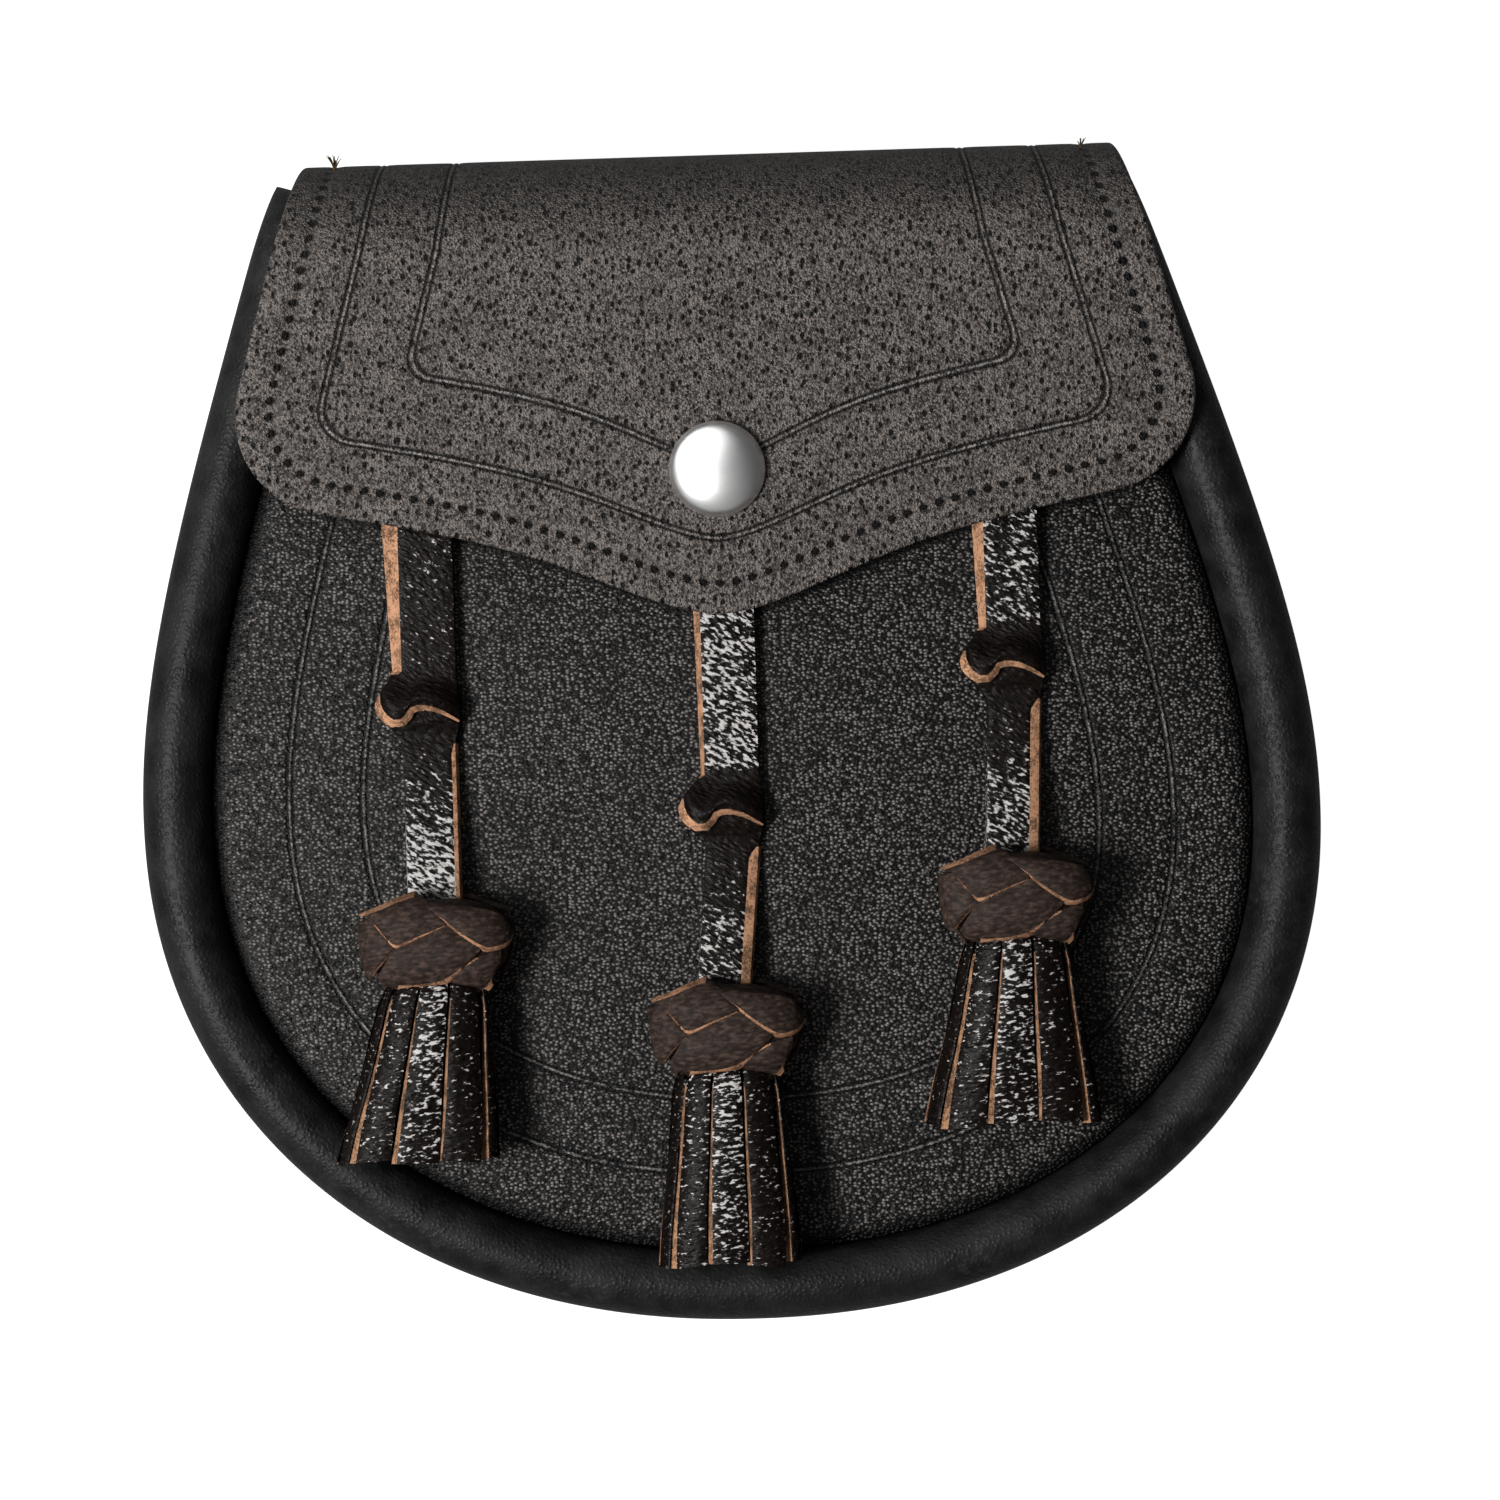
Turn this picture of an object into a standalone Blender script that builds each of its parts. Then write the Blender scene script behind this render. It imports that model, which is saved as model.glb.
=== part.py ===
"""A leather sporran pouch with three tassels, lying on its back.

Metres, +Z up. The front faces +Z, +Y runs to the fold of the flap and +X to the right as seen from
the front. The origin is on the surface it lies on, under the middle of the whole pouch.
"""

import math

import bmesh
import bpy

# Pouch body: its outline as seen from the front
BODY_WIDTH = 0.180
BODY_LENGTH = 0.1792
BODY_DEPTH = 0.040
WAIST_DROP = 0.0118
SIDE_SLOPE = 0.37
SIDE_EASE = 0.038
FOOT_FULLNESS = 2.15
BODY_LEAN = 0.021

# Gusset: one leather band with a rolled rim at the front and at the back
GUSSET_WALL = 0.0016
RIM_WIDTH = 0.0103
FRONT_RIM = 0.006
REAR_RIM = 0.007
RIM_LIP = 0.0025
GUSSET_DROP = 0.0031
REAR_EASE = 0.0186

# Panels
PANEL_WALL = 0.0022
PANEL_DOME = 0.0032
BACK_WALL = 0.0022

# Flap: its outline, its fold over the top and its tail sewn to the back
FLAP_WALL = 0.0022
FLAP_WIDTH = 0.1462
FLAP_SHIFT = -0.0006
FLAP_TAPER = 0.275
FLAP_SHOULDER_DROP = 0.0386
FLAP_LENGTH = 0.0714
FLAP_EDGE_SLOPE = 0.19
FLAP_EDGE_RISE = 0.0064
FLAP_EDGE_SPREAD = 0.024
FLAP_TIP_RADIUS = 0.005
FLAP_CORNER_RADIUS = 0.015
FLAP_CROWN = 0.0012
FOLD_REACH = 0.015
TAIL_LENGTH = 0.021
TAIL_WIDTH = 0.112

# Press stud
SNAP_DROP = 0.0496
SNAP_WIDTH = 0.0146
SNAP_HEIGHT = 0.0038
STUD_WIDTH = 0.009

# Belt loops on the back
LOOP_SPACING = 0.070
LOOP_WIDTH = 0.022
LOOP_LENGTH = 0.056
LOOP_TAB = 0.009
LOOP_BEND = 0.005
LOOP_WALL = 0.002

# Tassels
STRAP_WIDTH = 0.0082
STRAP_WALL = 0.0024
STRAP_SKIVE = 0.0026
STRAP_RISE = 0.004
SLIT_LENGTH = 0.0116
SLIT_WIDTH = 0.0118
SLIT_HEIGHT = 0.0052
KNOT_WIDTH = 0.0236
KNOT_LENGTH = 0.0141
KNOT_DEPTH = 0.0138
KNOT_RELIEF = 0.0010
KNOT_BANDS = 2
KNOT_SLANT = 1.9
KNOT_FULLNESS = 2.6
FRINGE_WIDTH = 0.0246
FRINGE_DEPTH = 0.0105
FRINGE_STRIPS = 10

# Clearances between neighbours
SEAM_GAP = 0.0003
SEAT_GAP = 0.0004

# How finely the curves are faceted
SIDE_STEPS = 11
FOOT_STEPS = 34
ROLL_STEPS = 5
FOLD_STEPS = 10
FLAP_COLUMNS = 28
FLAP_ROWS = 6
ROUND_SIDES = 24
KNOT_ROWS = 10

# Places that follow from the sizes
TOP_Y = BODY_LENGTH / 2
FOOT_Y = -BODY_LENGTH / 2
WAIST_Y = -WAIST_DROP
FOLD_Y = TOP_Y - FOLD_REACH
GUSSET_TOP_Y = TOP_Y - GUSSET_DROP
SHOULDER_Y = TOP_Y - FLAP_SHOULDER_DROP
FLAP_TIP_Y = TOP_Y - FLAP_LENGTH
FRONT_CREASE_Z = BODY_DEPTH - FRONT_RIM
FLAP_UNDER_Z = BODY_DEPTH + SEAT_GAP
TAIL_INNER_Z = REAR_RIM - SEAM_GAP
FOLD_MID_Z = (FLAP_UNDER_Z + TAIL_INNER_Z) / 2
FOLD_INNER_HALF = (FLAP_UNDER_Z - TAIL_INNER_Z) / 2

# The three tassels. x is a share of half the body's width, y a share of half its length; sway moves
# the foot of the fringe sideways and fan widens it, as shares of the fringe's width; lift carries the
# foot over the rim, as a share of the fringe's depth.
TASSELS = (
    # name, strap_x, strap_top, slit_y, knot_x, knot_y, fringe_end, sway, fan, lift
    ("left", -0.512, 0.49, 0.058, -0.503, -0.335, -0.704, -0.150, 1.00, 0.28),
    ("centre", 0.002, 0.33, -0.134, -0.020, -0.494, -0.893, -0.020, 0.87, 0.33),
    ("right", 0.485, 0.47, 0.102, 0.472, -0.287, -0.672, -0.050, 1.08, 0.05),
)

# The slit knot of a strap, from its upper end to its lower one. along, width, height, shift and lift
# are shares of SLIT_LENGTH, SLIT_WIDTH, SLIT_HEIGHT, SLIT_WIDTH and SLIT_HEIGHT.
SLIT_ROWS = (
    # along, width, height, shift, lift
    (0.50, 0.74, 0.52, 0.00, 0.00),
    (0.36, 0.94, 0.90, -0.06, 0.10),
    (0.16, 1.00, 1.00, -0.10, 0.18),
    (-0.02, 0.98, 0.92, -0.09, 0.16),
    (-0.14, 0.84, 0.62, -0.02, 0.00),
    (-0.26, 0.92, 0.76, 0.00, 0.06),
    (-0.42, 0.84, 0.66, 0.00, 0.04),
    (-0.50, 0.74, 0.50, 0.00, 0.00),
)

# A fringe from its head to its foot: shares of its length, width and depth, and of the slits' depth.
FRINGE_ROWS = (
    # along, width, depth, slit
    (0.00, 0.50, 0.80, 0.00),
    (0.05, 0.62, 1.06, 0.06),
    (0.14, 0.69, 1.12, 0.25),
    (0.45, 0.80, 1.05, 0.90),
    (0.80, 0.94, 0.98, 1.00),
    (1.00, 1.00, 0.94, 1.00),
)

LEATHER_FLAP = (0.100, 0.090, 0.085)
LEATHER_BODY = (0.045, 0.042, 0.040)
LEATHER_THONG = (0.026, 0.019, 0.016)
STEEL = (0.62, 0.61, 0.60)


def clear_scene():
    for item in list(bpy.data.objects):
        bpy.data.objects.remove(item, do_unlink=True)


def principled(name, colour, roughness, metallic=0.0):
    made = bpy.data.materials.new(name)
    made.use_nodes = True
    shader = made.node_tree.nodes["Principled BSDF"]
    shader.inputs["Base Color"].default_value = (*colour, 1.0)
    shader.inputs["Roughness"].default_value = roughness
    shader.inputs["Metallic"].default_value = metallic
    return made


def finish_mesh(name, shape, colour, roughness, metallic=0.0):
    """Turns a closed bmesh into a named object with its own material, faces outwards."""
    bmesh.ops.recalc_face_normals(shape, faces=shape.faces)
    mesh = bpy.data.meshes.new(name)
    shape.to_mesh(mesh)
    shape.free()
    mesh.shade_smooth()
    mesh.set_sharp_from_angle(angle=math.radians(40))
    made = bpy.data.objects.new(name, mesh)
    bpy.context.scene.collection.objects.link(made)
    mesh.materials.append(principled(name + "_finish", colour, roughness, metallic))
    return made


def smooth_step(share):
    held = min(1.0, max(0.0, share))
    return held * held * (3 - 2 * held)


# Shared shapes: lofts, grids and turned profiles


def bridge_rings(shape, lower, upper):
    count = len(lower)
    for i in range(count):
        j = (i + 1) % count
        shape.faces.new((lower[i], lower[j], upper[j], upper[i]))


def loft(rings):
    """One closed solid through rings of points, capped at both ends."""
    shape = bmesh.new()
    made = [[shape.verts.new(point) for point in ring] for ring in rings]
    for lower, upper in zip(made, made[1:]):
        bridge_rings(shape, lower, upper)
    shape.faces.new(made[0])
    shape.faces.new(made[-1])
    return shape


def grid_shell(outer, inner):
    """One closed wall between two grids of points of the same size."""
    shape = bmesh.new()
    faces = []
    for grid in (outer, inner):
        verts = [[shape.verts.new(point) for point in row] for row in grid]
        for low, high in zip(verts, verts[1:]):
            for i in range(len(low) - 1):
                shape.faces.new((low[i], low[i + 1], high[i + 1], high[i]))
        border = list(verts[0])
        border += [row[-1] for row in verts[1:]]
        border += verts[-1][-2::-1]
        border += [row[0] for row in verts[-2:0:-1]]
        faces.append(border)
    bridge_rings(shape, faces[0], faces[1])
    return shape


def dome_shell(loop, middle, shares, upper_z, lower_z):
    """A plate with this outline, whose two faces follow the heights upper_z(x, y) and lower_z(x, y)."""
    shape = bmesh.new()
    rims = []
    for height in (upper_z, lower_z):
        rings = []
        for share in shares:
            ring = []
            for x, y in loop:
                px = middle[0] + (x - middle[0]) * share
                py = middle[1] + (y - middle[1]) * share
                ring.append(shape.verts.new((px, py, height(px, py))))
            rings.append(ring)
        for outer, inner in zip(rings, rings[1:]):
            bridge_rings(shape, outer, inner)
        centre = shape.verts.new((middle[0], middle[1], height(*middle)))
        last = rings[-1]
        for i in range(len(last)):
            shape.faces.new((last[i], last[(i + 1) % len(last)], centre))
        rims.append(rings[0])
    bridge_rings(shape, rims[0], rims[1])
    return shape


def turned(profile, x, y, sides):
    """A solid of revolution about a line along Z, from (radius, z) pairs, closed at both ends."""
    rings = []
    for radius, z in profile:
        turns = [2 * math.pi * i / sides for i in range(sides)]
        rings.append([(x + radius * math.cos(a), y + radius * math.sin(a), z) for a in turns])
    return loft(rings)


# The body's outline


def body_centre(y):
    return -BODY_LEAN * (y - WAIST_Y)


def body_outline(top_y):
    """Points of the outline, from its top left end down round the foot and up to its top right end."""
    half = BODY_WIDTH / 2
    side = []
    for i in range(SIDE_STEPS):
        y = top_y + (WAIST_Y - top_y) * i / SIDE_STEPS
        narrowing = SIDE_SLOPE * (math.hypot(y - WAIST_Y, SIDE_EASE) - SIDE_EASE)
        side.append((half - narrowing, y))
    foot = []
    for i in range(FOOT_STEPS + 1):
        turn = math.pi * i / FOOT_STEPS
        across = math.copysign(abs(math.cos(turn)) ** (2 / FOOT_FULLNESS), math.cos(turn))
        down = abs(math.sin(turn)) ** (2 / FOOT_FULLNESS)
        foot.append((-half * across, WAIST_Y + (FOOT_Y - WAIST_Y) * down))
    points = [(-x, y) for x, y in side] + foot + side[::-1]
    return [(x + body_centre(y), y) for x, y in points]


def inward_normals(points):
    """Unit vectors across the outline, to its inside."""
    normals = []
    for i in range(len(points)):
        before = points[max(0, i - 1)]
        after = points[min(len(points) - 1, i + 1)]
        dx, dy = after[0] - before[0], after[1] - before[1]
        size = math.hypot(dx, dy)
        normals.append((-dy / size, dx / size))
    return normals


def inset_outline(top_y, inset):
    points = body_outline(top_y)
    normals = inward_normals(points)
    return [(x + nx * inset, y + ny * inset) for (x, y), (nx, ny) in zip(points, normals)]


def panel_loop():
    """The outline of a panel seated inside the rims, closed by a straight edge at the mouth."""
    side = inset_outline(FOLD_Y, RIM_WIDTH + SEAM_GAP)
    (right_x, right_y), (left_x, left_y) = side[-1], side[0]
    edge = []
    for i in range(1, SIDE_STEPS):
        share = i / SIDE_STEPS
        edge.append((right_x + (left_x - right_x) * share, right_y + (left_y - right_y) * share))
    return side + edge


# Heights


def inner_fold_share(y):
    """Height of the fold's inner face, as a share of what it is where the fold starts."""
    run = max(0.0, y - FOLD_Y) / (FOLD_REACH - FLAP_WALL)
    return math.sqrt(max(0.0, 1 - run * run))


def rim_heights(y):
    """The gusset's lowest and highest point at this place, which give way to the fold of the flap."""
    reach = FOLD_INNER_HALF * inner_fold_share(y) - SEAT_GAP
    front = min(BODY_DEPTH, FOLD_MID_Z + reach)
    if y > FOLD_Y:
        return FOLD_MID_Z - reach, front
    rise = smooth_step((y - FOLD_Y) / REAR_EASE + 1)
    return rise * (TAIL_INNER_Z + SEAT_GAP), front


def panel_top(x, y):
    """The front panel's outer face."""
    across = x / (BODY_WIDTH / 2)
    along = y / (BODY_LENGTH / 2)
    return FRONT_CREASE_Z + PANEL_DOME * max(0.0, 1 - across**2) * max(0.0, 1 - along**2)


# Gusset


def roll_arc(radius_x, radius_z, centre_z, side):
    """Half a rolled rim, from the seam over its crest to the outer wall: (inset, z) pairs.

    Its steps are placed so that the crest is a flat facet.
    """
    crest = math.cos(math.pi / ROLL_STEPS / 2)
    arc = []
    for i in range(ROLL_STEPS + 1):
        turn = math.pi * i / ROLL_STEPS
        inset = RIM_WIDTH / 2 + radius_x * math.cos(turn)
        arc.append((inset, centre_z + side * radius_z * math.sin(turn) / crest))
    return arc


def gusset_section(rear_z, front_z):
    """The gusset's C-shaped section: (inset, z) pairs, its outer face and then its inner one."""
    share = (front_z - rear_z) / BODY_DEPTH
    front_roll, rear_roll = FRONT_RIM * share, REAR_RIM * share
    lip = RIM_LIP * share
    half = RIM_WIDTH / 2
    front_mid, rear_mid = front_z - front_roll, rear_z + rear_roll
    outer = [(RIM_WIDTH, front_mid - lip)]
    outer += roll_arc(half, front_roll, front_mid, 1)
    outer += roll_arc(half, rear_roll, rear_mid, -1)[::-1]
    outer += [(RIM_WIDTH, rear_mid + lip)]
    inner = [(RIM_WIDTH - GUSSET_WALL, rear_mid + lip)]
    inner += roll_arc(half - GUSSET_WALL, rear_roll - GUSSET_WALL, rear_mid, -1)
    inner += roll_arc(half - GUSSET_WALL, front_roll - GUSSET_WALL, front_mid, 1)[::-1]
    inner += [(RIM_WIDTH - GUSSET_WALL, front_mid - lip)]
    return outer + inner


def make_gusset():
    points = body_outline(GUSSET_TOP_Y)
    rings = []
    for (x, y), (nx, ny) in zip(points, inward_normals(points)):
        section = gusset_section(*rim_heights(y))
        rings.append([(x + nx * inset, y + ny * inset, z) for inset, z in section])
    return finish_mesh("gusset", loft(rings), LEATHER_BODY, 0.42)


# Panels


def make_front_panel():
    shape = dome_shell(
        panel_loop(),
        (0.0, WAIST_Y),
        (1.0, 0.9, 0.7, 0.4),
        panel_top,
        lambda x, y: panel_top(x, y) - PANEL_WALL,
    )
    return finish_mesh("front_panel", shape, LEATHER_BODY, 0.55)


def make_back_panel():
    outline = panel_loop()
    rings = [[(x, y, z) for x, y in outline] for z in (REAR_RIM, REAR_RIM + BACK_WALL)]
    return finish_mesh("back_panel", loft(rings), LEATHER_BODY, 0.5)


# Flap


def flap_side(y):
    """Half the flap's width at this height."""
    return FLAP_WIDTH / 2 - FLAP_TAPER * (y - SHOULDER_Y)


def flap_edge(x):
    """The flap's lower edge without its round corners: a blunt tip and hollow flanks."""
    run = math.hypot(x, FLAP_TIP_RADIUS) - FLAP_TIP_RADIUS
    hollow = FLAP_EDGE_RISE * (1 - math.exp(-((x / FLAP_EDGE_SPREAD) ** 2)))
    return FLAP_TIP_Y + FLAP_EDGE_SLOPE * run + hollow


def flap_corner():
    """Centre of the round that joins the flap's side and lower edge."""
    base = FLAP_TIP_Y - FLAP_EDGE_SLOPE * FLAP_TIP_RADIUS + FLAP_EDGE_RISE
    above_edge = FLAP_CORNER_RADIUS * math.hypot(1, FLAP_EDGE_SLOPE)
    off_side = FLAP_CORNER_RADIUS * math.hypot(1, FLAP_TAPER)
    reach = FLAP_WIDTH / 2 - FLAP_TAPER * (base + above_edge - SHOULDER_Y) - off_side
    x = reach / (1 + FLAP_TAPER * FLAP_EDGE_SLOPE)
    return x, FLAP_EDGE_SLOPE * x + base + above_edge


def inside_flap(x, y, corner):
    """Whether a point right of the flap's middle line lies on the flap."""
    if x > flap_side(y) + 1e-9 or y < flap_edge(x):
        return False
    dx, dy = x - corner[0], y - corner[1]
    past_edge_end = FLAP_EDGE_SLOPE * dy + dx >= 0
    before_side_start = FLAP_TAPER * dx - dy >= 0
    return not (past_edge_end and before_side_start) or math.hypot(dx, dy) <= FLAP_CORNER_RADIUS


def flap_end(share, corner):
    """Where a line at this share of the flap's half width meets its lower edge."""
    high, low = FOLD_Y, FLAP_TIP_Y - FLAP_TIP_RADIUS
    for _ in range(40):
        middle = (high + low) / 2
        if inside_flap(share * flap_side(middle), middle, corner):
            high = middle
        else:
            low = middle
    return high


def flap_grid(thickness):
    """The flap's inner face, or its outer one a wall away: rows from the tail over the fold to the edge."""
    reach = FOLD_REACH - FLAP_WALL + thickness
    rise = FOLD_INNER_HALF + thickness
    corner = flap_corner()
    shares = [-math.cos(math.pi * i / FLAP_COLUMNS) for i in range(FLAP_COLUMNS + 1)]
    tail = [FLAP_SHIFT + share * TAIL_WIDTH / 2 for share in shares]
    rows = [[(x, FOLD_Y - TAIL_LENGTH, FOLD_MID_Z - rise) for x in tail]]
    for i in range(FOLD_STEPS):
        turn = math.pi * (i / FOLD_STEPS - 0.5)
        y = FOLD_Y + reach * math.cos(turn)
        z = FOLD_MID_Z + rise * math.sin(turn)
        spread = smooth_step(2 * i / FOLD_STEPS)
        half = TAIL_WIDTH / 2 + (flap_side(y) - TAIL_WIDTH / 2) * spread
        rows.append([(FLAP_SHIFT + share * half, y, z) for share in shares])
    ends = [flap_end(abs(share), corner) for share in shares]
    for i in range(FLAP_ROWS + 1):
        row = []
        for share, end in zip(shares, ends):
            y = FOLD_Y + (end - FOLD_Y) * i / FLAP_ROWS
            crown = FLAP_CROWN * (1 - share**2) * smooth_step((FOLD_Y - y) / FLAP_SHOULDER_DROP)
            row.append((FLAP_SHIFT + share * flap_side(y), y, FOLD_MID_Z + rise + crown))
        rows.append(row)
    return rows


def make_flap():
    return finish_mesh("flap", grid_shell(flap_grid(FLAP_WALL), flap_grid(0.0)), LEATHER_FLAP, 0.6)


# Press stud


def crowned_flap_under(y):
    return FLAP_UNDER_Z + FLAP_CROWN * smooth_step((FOLD_Y - y) / FLAP_SHOULDER_DROP)


def make_snap():
    y = TOP_Y - SNAP_DROP
    seat = crowned_flap_under(y) + FLAP_WALL + SEAM_GAP
    half = SNAP_WIDTH / 2
    dome = [(half * 0.93, seat), (half, seat + SNAP_HEIGHT * 0.10)]
    for i in range(1, 6):
        turn = math.pi / 2 * i / 6
        dome.append((half * math.cos(turn), seat + SNAP_HEIGHT * (0.10 + 0.90 * math.sin(turn))))
    cap = turned(dome, FLAP_SHIFT, y, ROUND_SIDES)
    finish_mesh("snap_cap", cap, STEEL, 0.22, 1.0)
    low = panel_top(FLAP_SHIFT, y) + SEAM_GAP
    high = crowned_flap_under(y) - SEAM_GAP
    post = turned([(STUD_WIDTH / 2, low), (STUD_WIDTH / 2, high)], FLAP_SHIFT, y, ROUND_SIDES // 2)
    finish_mesh("snap_stud", post, STEEL, 0.35, 1.0)


# Belt loops


def make_belt_loop(name, x, middle_y):
    """A plain strip whose two ends lie on the back panel and whose middle stands clear of it."""
    tab = REAR_RIM - SEAM_GAP
    stand = SEAM_GAP + LOOP_WALL
    half = LOOP_LENGTH / 2
    knee = half - LOOP_TAB
    foot = knee - LOOP_BEND
    face = [(-half, tab), (-knee, tab), (-foot, stand), (foot, stand), (knee, tab), (half, tab)]
    profile = face + [(y, z - LOOP_WALL) for y, z in reversed(face)]
    rings = []
    for side in (-1, 1):
        across = x + side * LOOP_WIDTH / 2
        rings.append([(across, middle_y + y, z) for y, z in profile])
    return finish_mesh(name, loft(rings), LEATHER_BODY, 0.5)


# Tassels


def strap_ring(x, y, z, width, height, squareness, left_skive=0.0, right_skive=0.0):
    """A strap's section across Y: 12 points of a squared ellipse, wider below where it is skived."""
    ring = []
    for i in range(12):
        turn = math.pi / 6 * (i + 0.5)
        across = math.copysign(abs(math.cos(turn)) ** (2 / squareness), math.cos(turn))
        up = math.copysign(abs(math.sin(turn)) ** (2 / squareness), math.sin(turn))
        skive = (right_skive if across > 0 else -left_skive) * (1 - up) / 2
        ring.append((x + across * width / 2 + skive, y, z + up * height / 2))
    return ring


def make_strap(name, x, top_y, slit_y, knot_x, end_y, end_z):
    """One thong from under the flap, through its slit knot, to the woven knot."""
    seat = SEAM_GAP + STRAP_WALL / 2
    upper_end = slit_y + SLIT_LENGTH / 2
    lower_start = slit_y - SLIT_LENGTH / 2
    rings = []
    for share in (0.0, 0.3, 0.6, 0.85):
        y = top_y + (upper_end - top_y) * share
        skive = STRAP_SKIVE * (1 - 0.6 * share)
        z = panel_top(0.9 * x, y) + seat
        rings.append(strap_ring(x, y, z, STRAP_WIDTH, STRAP_WALL, 7, left_skive=skive))
    for along, width, height, shift, lift in SLIT_ROWS:
        y = slit_y + along * SLIT_LENGTH
        thick = height * SLIT_HEIGHT
        z = panel_top(0.9 * x, y) + SEAM_GAP + thick / 2 + lift * SLIT_HEIGHT / 2
        rings.append(strap_ring(x + shift * SLIT_WIDTH, y, z, width * SLIT_WIDTH, thick, 3.2))
    start_z = panel_top(0.9 * x, lower_start) + seat
    for share in (0.2, 0.45, 0.7, 1.0):
        y = lower_start + (end_y - lower_start) * share
        z = start_z + (end_z - start_z) * smooth_step(share)
        centre = x + (knot_x - x) * share
        skive = STRAP_SKIVE * 0.45
        rings.append(strap_ring(centre, y, z, STRAP_WIDTH, STRAP_WALL, 7, right_skive=skive))
    return finish_mesh(name, loft(rings), LEATHER_THONG, 0.4)


def make_woven_knot(name, x, y, z):
    """A flattened barrel across the strap, its face raised in slanting bands that cross."""
    pole = 0.09
    valley = 1 - math.cos(math.pi / 4)
    rings = []
    for i in range(KNOT_ROWS + 1):
        along = math.cos(math.pi * (pole + (1 - 2 * pole) * i / KNOT_ROWS)) / math.cos(math.pi * pole)
        girth = (1 - abs(along * math.cos(math.pi * pole)) ** KNOT_FULLNESS) ** (1 / KNOT_FULLNESS)
        ring = []
        for k in range(ROUND_SIDES):
            turn = 2 * math.pi * k / ROUND_SIDES
            slant = KNOT_SLANT * along
            bands = max(abs(math.cos(KNOT_BANDS * turn + side * slant)) for side in (-1, 1))
            sunk = KNOT_RELIEF * girth * (1 - bands) / valley
            px = x + (KNOT_WIDTH / 2 * girth - sunk) * math.cos(turn)
            pz = z + (KNOT_DEPTH / 2 * girth - sunk) * math.sin(turn)
            ring.append((px, y + along * KNOT_LENGTH / 2, pz))
        rings.append(ring)
    return finish_mesh(name, loft(rings), LEATHER_THONG, 0.45)


def make_fringe(name, x, top_y, top_z, end_y, end_z, sway, fan):
    """Strips of leather round one head, parted by slits that deepen to the foot."""
    span = 2 * math.pi / FRINGE_STRIPS
    rings = []
    for along, width, depth, slit in FRINGE_ROWS:
        y = top_y + (end_y - top_y) * along
        z = top_z + (end_z - top_z) * along
        centre = x + sway * FRINGE_WIDTH * along
        half_width = FRINGE_WIDTH / 2 * width * (1 + (fan - 1) * along)
        half_depth = FRINGE_DEPTH / 2 * depth
        ring = []
        for strip in range(FRINGE_STRIPS):
            for edge, floor in ((-0.47, 1), (-0.38, 0), (0.38, 0), (0.47, 1)):
                turn = span * (strip + edge)
                reach = 1 - 0.42 * slit * floor
                ring.append((
                    centre + half_width * reach * math.cos(turn),
                    y,
                    z + half_depth * reach * math.sin(turn),
                ))
        rings.append(ring)
    return finish_mesh(name, loft(rings), LEATHER_THONG, 0.45)


def make_tassel(row):
    name, strap_x, strap_top, slit, knot_x, knot, fringe_end, sway, fan, lift = row
    half_width, half_length = BODY_WIDTH / 2, BODY_LENGTH / 2
    x, middle_x = strap_x * half_width, knot_x * half_width
    knot_y = knot * half_length
    knot_z = panel_top(0.8 * middle_x, knot_y) + SEAM_GAP + KNOT_DEPTH / 2
    knot_top = knot_y + KNOT_LENGTH / 2
    entry_z = min(knot_z, panel_top(x, knot_top) + STRAP_WALL / 2 + STRAP_RISE)
    make_strap(
        f"tassel_strap_{name}",
        x,
        strap_top * half_length,
        slit * half_length,
        middle_x,
        knot_top + SEAM_GAP,
        entry_z,
    )
    make_woven_knot(f"tassel_knot_{name}", middle_x, knot_y, knot_z)
    end_y = fringe_end * half_length
    end_z = panel_top(middle_x, end_y) + SEAT_GAP + FRINGE_DEPTH * (0.5 + lift)
    make_fringe(
        f"tassel_fringe_{name}",
        middle_x,
        knot_y - KNOT_LENGTH / 2 - SEAM_GAP,
        knot_z,
        end_y,
        end_z,
        sway,
        fan,
    )


def main():
    clear_scene()
    make_gusset()
    make_front_panel()
    make_back_panel()
    make_flap()
    make_snap()
    for name, side in (("left", -1), ("right", 1)):
        make_belt_loop(f"belt_loop_{name}", side * LOOP_SPACING / 2, -WAIST_Y)
    for row in TASSELS:
        make_tassel(row)


main()
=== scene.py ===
import math

import bmesh
import bpy
import numpy as np
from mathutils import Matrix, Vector


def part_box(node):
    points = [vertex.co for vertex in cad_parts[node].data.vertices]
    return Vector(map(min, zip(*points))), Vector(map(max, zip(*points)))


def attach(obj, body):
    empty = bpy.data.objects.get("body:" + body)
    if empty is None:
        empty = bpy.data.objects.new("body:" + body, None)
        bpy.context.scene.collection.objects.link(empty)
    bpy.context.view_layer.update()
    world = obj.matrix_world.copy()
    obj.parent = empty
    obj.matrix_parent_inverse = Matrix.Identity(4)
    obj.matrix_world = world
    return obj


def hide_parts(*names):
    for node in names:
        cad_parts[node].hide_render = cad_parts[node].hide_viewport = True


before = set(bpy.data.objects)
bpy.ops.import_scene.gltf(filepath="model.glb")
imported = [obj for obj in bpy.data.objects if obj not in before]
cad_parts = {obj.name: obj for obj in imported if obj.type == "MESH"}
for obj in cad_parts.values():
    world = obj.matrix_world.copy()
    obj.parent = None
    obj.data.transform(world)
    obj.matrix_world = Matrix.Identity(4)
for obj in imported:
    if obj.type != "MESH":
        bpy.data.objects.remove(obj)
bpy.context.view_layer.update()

# A leather sporran pouch with three tassels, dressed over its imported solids. Metres, +Z up.
MM = 0.001

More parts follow.
